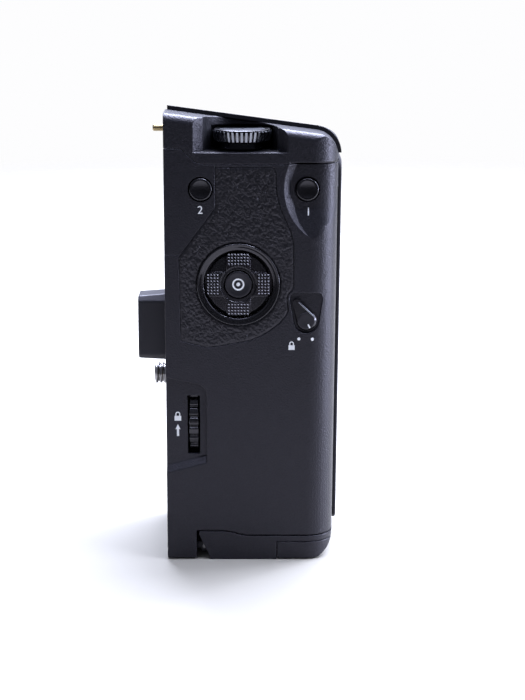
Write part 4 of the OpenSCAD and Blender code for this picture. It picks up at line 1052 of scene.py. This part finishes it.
@dataclass
class Controls:
    """The other controls: function buttons, lock lever, shutter button with its dial, mounting wheel.

    Attributes:
        buttons: The function buttons.
        dish: Depth of the hollow in their fronts, in millimetres as the other sizes.
        press: Direction in which the shutter button goes down.
        ease: How far the end of its stem is drawn in.
        stem_end: Length of the end that is drawn in.
        hub: Middle of the lever's disc in x and z.
        hub_r: Radius of the disc.
        hub_rise: How far the disc stands out of the lever.
        hub_sunk: How far it reaches into the lever.
        highlight_rib: Ends in x and z of a bright plated rib along the lever's right edge, a painted highlight where
            the real edge only catches the light.
        highlight_rib_r: Radius of the rib at its middle.
        highlight_rib_end: Radius and length of each end's steps, from its tip.
    """

    buttons: tuple[str, ...] = ("fn1_button", "fn2_button")
    dish: float = 0.35
    press: Point = (-0.126, -0.309, -0.943)
    ease: float = 0.06
    stem_end: float = 0.05
    hub: tuple[float, float] = (40.8, 72.4)
    hub_r: float = 2.5
    hub_rise: float = 0.16
    hub_sunk: float = 0.5
    highlight_rib: tuple[tuple[float, float], ...] = ((38.5, 78.1), (42.95, 73.75))
    highlight_rib_r: float = 0.3
    highlight_rib_end: tuple[tuple[float, float], ...] = ((0, 0), (0.16, 0.1), (0.26, 0.6))

    def build(self) -> None:
        """Round their edges, dish the buttons, set the disc on the lever and lay a bright rib along its edge as a
        painted highlight.
        """
        for node in self.buttons:
            softened(node, Edge.SOFT, Finishes.GLOSS, lambda bm: dished(bm, self.dish))
        softened("shutter_button", Edge.SOFT, Finishes.GLOSS, self.eased)
        softened("mount_wheel", Edge.SOFT, Finishes.GLOSS)
        softened("front_dial", Edge.FINE)
        softened("lock_lever", Edge.SOFT, Finishes.GLOSS, steps=1)
        front = (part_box("lock_lever")[0].y - ZERO.y) / MM
        r, top, sunk = self.hub_r, self.hub_rise, -self.hub_sunk
        # The disc is a little hollow, with a rounded rim
        profile = [
            (0, top - 0.1), (r * 0.55, top - 0.06), (r - 0.35, top), (r - 0.12, top - 0.03), (r, top - 0.14),
            (r, sunk), (0, sunk),
        ]
        disc = lathe(profile, 48, place(self.hub[0], front, self.hub[1]), OUT)
        piece("lock_lever_disc", smoothed(disc, "lever_disc"), Finishes.KEY, "lock_lever")
        # A bright plated rib along the lever's right edge is a painted highlight: the real edge is the lever's own
        # black plastic, catching the light there.
        start, end = (place(x, front, z) for x, z in self.highlight_rib)
        long = (end - start).length / MM
        profile = [*self.highlight_rib_end, (self.highlight_rib_r, long / 2), *((r, long - h) for r, h in reversed(self.highlight_rib_end))]
        highlight_rib = lathe(profile, 12, start, (end - start).normalized())
        piece("lock_lever_highlight_rib", smoothed(highlight_rib, "lever_highlight_rib"), Finishes.CHROME, "lock_lever")

    def eased(self, bm: bmesh.types.BMesh) -> None:
        """Draw the stem's end in by a hair, so that it stops short of its switch at full press.

        Args:
            bm: The shutter button's mesh.
        """
        press = Vector(self.press)
        deepest = max(vert.co.dot(press) for vert in bm.verts)
        for vert in bm.verts:
            if vert.co.dot(press) > deepest - self.stem_end * MM:
                vert.co -= press * self.ease * MM


@dataclass
class CameraSide:
    """What meets the camera: capped plug, locating pin and threaded screw, with the socket on the far side.

    Attributes:
        crisp: The pieces with crisp edges.
        pitch: Pitch of the camera screw's thread, in millimetres as the other sizes.
        screw_r: Radius over the thread.
        crest: Radius of the rounded thread ridge.
        sunk: Depth of the core under the ridge's top, in ridge radii.
        tip: Length of the plain tip of the screw.
        point: Chamfer of the tip.
        thread: Length of the thread.
        run_out: Length of core past the thread.
        shank_r: Radius of the shank.
        bevel: Chamfer of the shank's ends.
    """

    crisp: tuple[str, ...] = ("locating_pin", "plug_housing", "tripod_socket")
    pitch: float = 1.27
    screw_r: float = 3.175
    crest: float = 0.5
    sunk: float = 1.15
    tip: float = 0.55
    point: float = 0.45
    thread: float = 3.5
    run_out: float = 0.3
    shank_r: float = 2.6
    bevel: float = 0.2

    def build(self) -> None:
        """Round the cap and the small pieces, turn the screw's core and wind its thread round it."""
        softened("plug_cap", Edge.SOFT)
        for node in self.crisp:
            softened(node, Edge.CRISP)
        low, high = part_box("mount_screw")
        axis = Vector((low.x, (low.y + high.y) / 2, (low.z + high.z) / 2))
        long = (high.x - low.x) / MM
        root, shank, cut = self.screw_r - self.crest * self.sunk, self.shank_r, self.bevel
        end = self.tip + self.thread + self.run_out
        profile = [
            (0, 0), (root - self.point, 0), (root, self.point), (root, end), (shank, end + cut), (shank, long - cut),
            (shank - cut, long), (0, long),
        ]
        core = lathe(profile, 48, axis, ALONG)
        piece("camera_screw_core", smoothed(core, "mount_screw"), Finishes.STEEL, "mount_screw", ("mount_screw",))
        rule = Rule(
            "screw_thread",
            {"Turns": self.thread / self.pitch, "Middle": (self.screw_r - self.crest) * MM,
             "Length": self.thread * MM, "Crest": self.crest * MM},
            Finishes.STEEL, self.recipe,
        )
        mesh = rule.mesh()
        mesh.transform(Matrix.Translation(axis + Vector((self.tip * MM, 0, 0))) @ turned(ALONG))
        mesh.polygons.foreach_set("use_smooth", [True] * len(mesh.polygons))
        piece("camera_screw_thread", mesh, Finishes.STEEL, "mount_screw")

    @staticmethod
    def recipe(tree: bpy.types.NodeTree, sizes: dict[str, bpy.types.NodeSocket]) -> Source:
        """Draw a round ridge along a helix.

        Args:
            tree: The tree that takes the nodes.
            sizes: The tree's inputs.

        Returns:
            What gives the shape.
        """
        helix = add(
            tree, "GeometryNodeCurveSpiral", {"Resolution": 40},
            {"Rotations": sizes["Turns"], "Start Radius": sizes["Middle"], "End Radius": sizes["Middle"],
             "Height": sizes["Length"]},
        )
        ridge = add(tree, "GeometryNodeCurvePrimitiveCircle", {"Resolution": 10}, {"Radius": sizes["Crest"]})
        return add(tree, "GeometryNodeCurveToMesh", {"Fill Caps": True}, {"Curve": helix, "Profile Curve": ridge})


@dataclass
class Foot:
    """The battery door and its latch.

    Attributes:
        nodes: The door and the latch.
        edge: How round their edges are.
    """

    nodes: tuple[str, ...] = ("battery_door", "door_latch")
    edge: Edge = Edge.FINE

    def build(self) -> None:
        """Round their edges."""
        for node in self.nodes:
            softened(node, self.edge)


@dataclass(frozen=True)
class Print:
    """One white print: flat shapes in millimetres round a spot, on the surface behind it.

    Attributes:
        name: The piece's name.
        spot: Its place in x and z.
        shapes: Outlines of its shapes, each a convex ring of points.
        behind: The piece that it lies on.
        body: The body that it rides on.
    """

    name: str
    spot: tuple[float, float]
    shapes: tuple[Outline, ...]
    behind: str = "rear_cover_finished"
    body: str = "housing"

    def mesh(self) -> bpy.types.Mesh:
        """Cut the shapes out flat, well in front of the rear face.

        Returns:
            The flat mesh.
        """
        bm = bmesh.new()
        for shape in self.shapes:
            bm.faces.new([bm.verts.new(place(self.spot[0] + x, AHEAD_MM, self.spot[1] + z)) for x, z in shape])
        bmesh.ops.remove_doubles(bm, verts=bm.verts, dist=MERGE_MM * MM)
        return plain(bm, self.name)


def arc(r: float, start: float, end: float, steps: int, z: float = 0.0) -> list[tuple[float, float]]:
    """Give points of an arc.

    Args:
        r: Its radius in millimetres.
        start: Where it starts, in degrees.
        end: Where it ends, in degrees.
        steps: Steps from one point to the next.
        z: Height of its middle in millimetres.

    Returns:
        The points in x and z.
    """
    turns = [math.radians(start + (end - start) * k / steps) for k in range(steps + 1)]
    return [(r * math.cos(t), z + r * math.sin(t)) for t in turns]


def band(outer: Outline, inner: Outline) -> list[Outline]:
    """Give the quads between two lines of as many points."""
    return [(a, b, d, c) for a, b, c, d in zip(outer, outer[1:], inner, inner[1:])]


def padlock(tall: float) -> tuple[Outline, ...]:
    """Draw a closed padlock.

    Args:
        tall: Its height in millimetres.

    Returns:
        The outlines of its box and of its loop's pieces.
    """
    half, body, bar, loop = tall * 0.36, tall * 0.54, tall * 0.11, tall * 0.26
    low, top = -tall / 2, -tall / 2 + body
    bend = top + tall - body - loop
    outer, inner = ([(r, top), *arc(r, 0, 180, 14, bend), (-r, top)] for r in (loop, loop - bar))
    return (((-half, low), (half, low), (half, top), (-half, top)), *band(outer, inner))


def arrow_up(tall: float) -> tuple[Outline, ...]:
    """Draw an arrow that points up.

    Args:
        tall: Its height in millimetres.

    Returns:
        The outlines of its stem and its head.
    """
    stem, head, neck = tall * 0.09, tall * 0.2, tall * 0.08
    return (
        ((-stem, -tall / 2), (stem, -tall / 2), (stem, neck), (-stem, neck)),
        ((-head, neck), (head, neck), (0, tall / 2)),
    )


@dataclass
class Marks:
    """The white prints on the rear face, each laid on the surface behind it.

    Attributes:
        lift: Height of the ink in millimetres.
        numeral: Height of the numerals in millimetres.
        type_size: Size of type that a numeral needs, in its heights.
        rest: Angle of the lock lever left of upright, in degrees.
        index: Start, end and half width of the line on the lever's disc.
    """

    lift: float = 0.03
    numeral: float = 2.3
    type_size: float = 1.42
    rest: float = 28.0
    index: Point = (1.1, 2.3, 0.22)

    def build(self) -> None:
        """Print the numerals, the dots and the signs."""
        self.number("1", (41.3, 103.9), "rear_cover_finished", "print_button_1")
        self.number("2", (10.4, 104.6), "control_cover_finished", "print_button_2")
        dot, middle = arc(0.45, 0, 345, 23), arc(0.55, 0, 345, 23)
        ring = band(arc(1.75, 0, 360, 36), arc(1.3, 0, 360, 36))
        lean = math.radians(self.rest)
        x, z = math.sin(lean), -math.cos(lean)
        start, end, half = self.index
        corners = ((start, -half), (end, -half), (end, half), (start, half))
        line = tuple((x * far - z * side, z * far + x * side) for far, side in corners)
        prints = (
            Print("print_lock_dot_left", (38.7, 67.1), (dot,)),
            Print("print_lock_dot_right", (42.6, 67.0), (dot,)),
            Print("print_lock_sign", (36.6, 65.1), padlock(2.5)),
            Print("print_lever_index", (40.8, 72.4), (line,), "lock_lever_disc", "lock_lever"),
            Print("print_centre_ring", (21.2, 83.1), (*ring, middle), "ok_button_finished", "ok_button"),
            Print("print_wheel_arrow", (3.35, 39.4), arrow_up(3.6)),
            Print("print_wheel_sign", (3.35, 43.6), padlock(2.7)),
        )
        for mark in prints:
            self.lay(mark.mesh(), mark.behind, mark.body, mark.name)

    def number(self, text: str, spot: tuple[float, float], behind: str, name: str) -> None:
        """Print a numeral on the housing.

        Args:
            text: The numeral.
            spot: Its middle in x and z.
            behind: The piece that it lies on.
            name: The print's own name.
        """
        curve = bpy.data.curves.new(name, "FONT")
        curve.body = text
        curve.align_x, curve.align_y = "CENTER", "CENTER"
        curve.size = self.numeral * self.type_size * MM
        mesh = settled(linked(name + "_text", curve))
        mesh.transform(Matrix.Translation(place(spot[0], AHEAD_MM, spot[1])) @ UPRIGHT)
        self.lay(mesh, behind, "housing", name)

    def lay(self, mesh: bpy.types.Mesh, behind: str, body: str, name: str) -> None:
        """Push a flat print back on to the surface behind it, and give it the ink's thickness.

        Args:
            mesh: The print, flat, in front of the surface.
            behind: The piece that it lies on.
            body: The body that it rides on.
            name: The print's own name.
        """
        wall = BVHTree.FromObject(bpy.data.objects[behind], bpy.context.evaluated_depsgraph_get())
        for vert in mesh.vertices:
            hit = wall.ray_cast(vert.co, INTO)[0]
            if hit is None:
                raise ValueError(f"{name} misses {behind} at {vert.co}")
            vert.co.y = hit.y - self.lift * MM
        bm = bmesh.new()
        bm.from_mesh(mesh)
        bmesh.ops.recalc_face_normals(bm, faces=bm.faces)
        grown = bmesh.ops.extrude_face_region(bm, geom=bm.faces[:])
        for item in grown["geom"]:
            if isinstance(item, bmesh.types.BMVert):
                item.co.y += 2 * self.lift * MM
        bmesh.ops.recalc_face_normals(bm, faces=bm.faces)
        piece(name, smoothed(bm, name), Finishes.INK, body)


@dataclass(frozen=True)
class SoftBox:
    """A soft lamp of the studio.

    Attributes:
        name: The lamp's name.
        spot: Where it hangs, in metres.
        size: Its width and height in metres.
        power: Its power in watts.
        aim: Height above the frame's zero that it points at, in metres.
    """

    name: str
    spot: Point
    size: tuple[float, float]
    power: float
    aim: float = 0.06

    def hang(self, colour: str) -> None:
        """Hang the lamp.

        Args:
            colour: Colour of its light.
        """
        light = bpy.data.lights.new(self.name, "AREA")
        light.shape = "RECTANGLE"
        light.size, light.size_y = self.size
        light.energy = self.power
        light.color = linear(colour)[:3]
        made = linked(self.name, light)
        made.location = self.spot
        made.rotation_euler = (Vector((0.0, 0.0, self.aim)) - Vector(self.spot)).to_track_quat("-Z", "Y").to_euler()


@dataclass
class Studio:
    """A pale floor, soft light from above, behind and the right, and the camera of the photograph.

    Attributes:
        eye: Where the camera stands, in millimetres.
        dip: How far it looks down, in degrees.
        lens: Its focal length in millimetres.
        sensor: Width of its sensor in millimetres.
        daylight: Colour of the light.
        backdrop: Colour of the room that the camera sees.
        paper: Colour of the floor.
        floor_r: Radius of the floor in metres.
        fade_middle: Middle of the part of the floor that shows, in metres.
        fade: Distances from it at which the floor starts and ends fading, in metres.
        bright_side: Direction of the brightest side of the room.
        lamps: The soft lamps.
    """

    eye: Point = (28.17, -515.3, 179.0)
    dip: float = 12.6
    lens: float = 93.65
    sensor: float = 36.0
    daylight: str = "#e3e9ff"
    backdrop: str = "#fdfdfe"
    paper: str = "#95928a"
    floor_r: float = 1.2
    fade_middle: Point = (0.0, 0.28, 0.0)
    fade: tuple[float, float] = (0.5, 0.75)
    bright_side: Point = (-0.1, 0.99, 0.1)
    lamps: tuple[SoftBox, ...] = (
        SoftBox("right_window", (0.82, -0.04, 0.32), (0.58, 0.76), 6.5),
        SoftBox("low_right", (0.58, -0.04, 0.06), (0.3, 0.11), 1.9, aim=0.11),
        SoftBox("ceiling_window", (0.16, 0.13, 1.15), (1.3, 0.18), 24.0),
        SoftBox("back_strip", (0.15, 0.58, 0.95), (1.1, 0.3), 48.0),
        SoftBox("front_strip", (0.05, -0.3, 1.1), (0.9, 0.12), 6.4),
        SoftBox("high_right", (0.8, 0.42, 0.88), (0.5, 0.5), 26.0),
    )

    def build(self) -> None:
        """Lay the floor, hang the lights and set the camera."""
        self.floor()
        self.sky()
        for lamp in self.lamps:
            lamp.hang(self.daylight)
        self.camera()
        settings = bpy.context.scene.view_settings
        settings.view_transform = "Standard"
        settings.look = "None"

    def floor(self) -> None:
        """Lay a pale sheet that fades out into the white of the room."""
        bm = bmesh.new()
        bmesh.ops.create_circle(bm, cap_ends=True, segments=64, radius=self.floor_r)
        mesh = plain(bm, "floor")
        # Matt paper: an even pale ground that ends in no line
        sheet = bpy.data.materials.new("white_paper")
        tree = bare_tree(sheet)
        where = add(tree, "ShaderNodeTexCoord").outputs["Object"]
        reach = add(tree, "ShaderNodeVectorMath", {"operation": "DISTANCE", 1: self.fade_middle}, {0: where})
        near, far = self.fade
        soft = {"From Min": near, "From Max": far, "interpolation_type": "SMOOTHSTEP"}
        fade = add(tree, "ShaderNodeMapRange", soft, {"Value": reach.outputs["Value"]})
        matt = add(tree, "ShaderNodeBsdfPrincipled", {"Base Color": linear(self.paper), "Roughness": 0.7})
        gone = add(tree, "ShaderNodeBsdfTransparent")
        mixed = add(tree, "ShaderNodeMixShader", links={0: fade, 1: matt, 2: gone})
        add(tree, "ShaderNodeOutputMaterial", links={"Surface": mixed})
        mesh.materials.append(sheet)
        linked("floor", mesh)

    def sky(self) -> None:
        """Light the room: bright behind the grip, less so above, dim behind the camera."""
        world = bpy.data.worlds.new("room")
        bpy.context.scene.world = world
        tree = bare_tree(world)
        way = add(tree, "ShaderNodeTexCoord").outputs["Generated"]
        bright = {"operation": "DOT_PRODUCT", 1: Vector(self.bright_side).normalized()}
        facing = add(tree, "ShaderNodeVectorMath", bright, {0: way})
        glow = {"From Min": 0.25, "From Max": 0.9, "To Min": 0.06, "To Max": 0.8, "interpolation_type": "SMOOTHSTEP"}
        level = add(tree, "ShaderNodeMapRange", glow, {"Value": facing.outputs["Value"]})
        rise = add(tree, "ShaderNodeSeparateXYZ", links={0: way})
        upper = {"From Min": 0.1, "From Max": 0.32, "To Min": 0.0, "To Max": 0.35, "interpolation_type": "SMOOTHSTEP"}
        wall = add(tree, "ShaderNodeMapRange", upper, {"Value": rise.outputs[2]})
        room = add(tree, "ShaderNodeMath", {"operation": "MAXIMUM"}, {0: level, 1: wall})
        # The picture's ground is an even white, whatever light the room gives
        seen = add(tree, "ShaderNodeLightPath").outputs["Is Camera Ray"]
        strength = add(tree, "ShaderNodeMix", {"data_type": "FLOAT", 3: 1.0}, {0: seen, 2: room})
        hues = {"data_type": "RGBA", 6: linear(self.daylight), 7: linear(self.backdrop)}
        hue = add(tree, "ShaderNodeMix", hues, {0: seen})
        back = add(tree, "ShaderNodeBackground", links={"Color": hue.outputs[2], "Strength": strength})
        add(tree, "ShaderNodeOutputWorld", links={"Surface": back})

    def camera(self) -> None:
        """Set the camera where the photograph was taken."""
        data = bpy.data.cameras.new("camera")
        data.lens, data.sensor_width = self.lens, self.sensor
        data.clip_start, data.clip_end = 0.01, 50.0
        made = linked("camera", data)
        made.location = place(*self.eye)
        made.rotation_euler = (math.radians(90 - self.dip), 0.0, 0.0)
        bpy.context.scene.camera = made


def dress_inside() -> None:
    """Give every node that still shows its own finish."""
    for name, node in frame["nodes"].items():
        if not node.hide_render:
            node.data.materials.clear()
            node.data.materials.append(finish_of(name).material())


def main() -> None:
    """Build the grip's pieces in order, then the prints and the studio."""
    logging.basicConfig(level=logging.INFO, format="%(message)s")
    for part in (Housing(), LeatherPanel(), ThumbDial(), ArrowPad(), Controls(), CameraSide(), Foot(), Marks()):
        part.build()
    dress_inside()
    Studio().build()


if __name__ == "__main__":
    main()
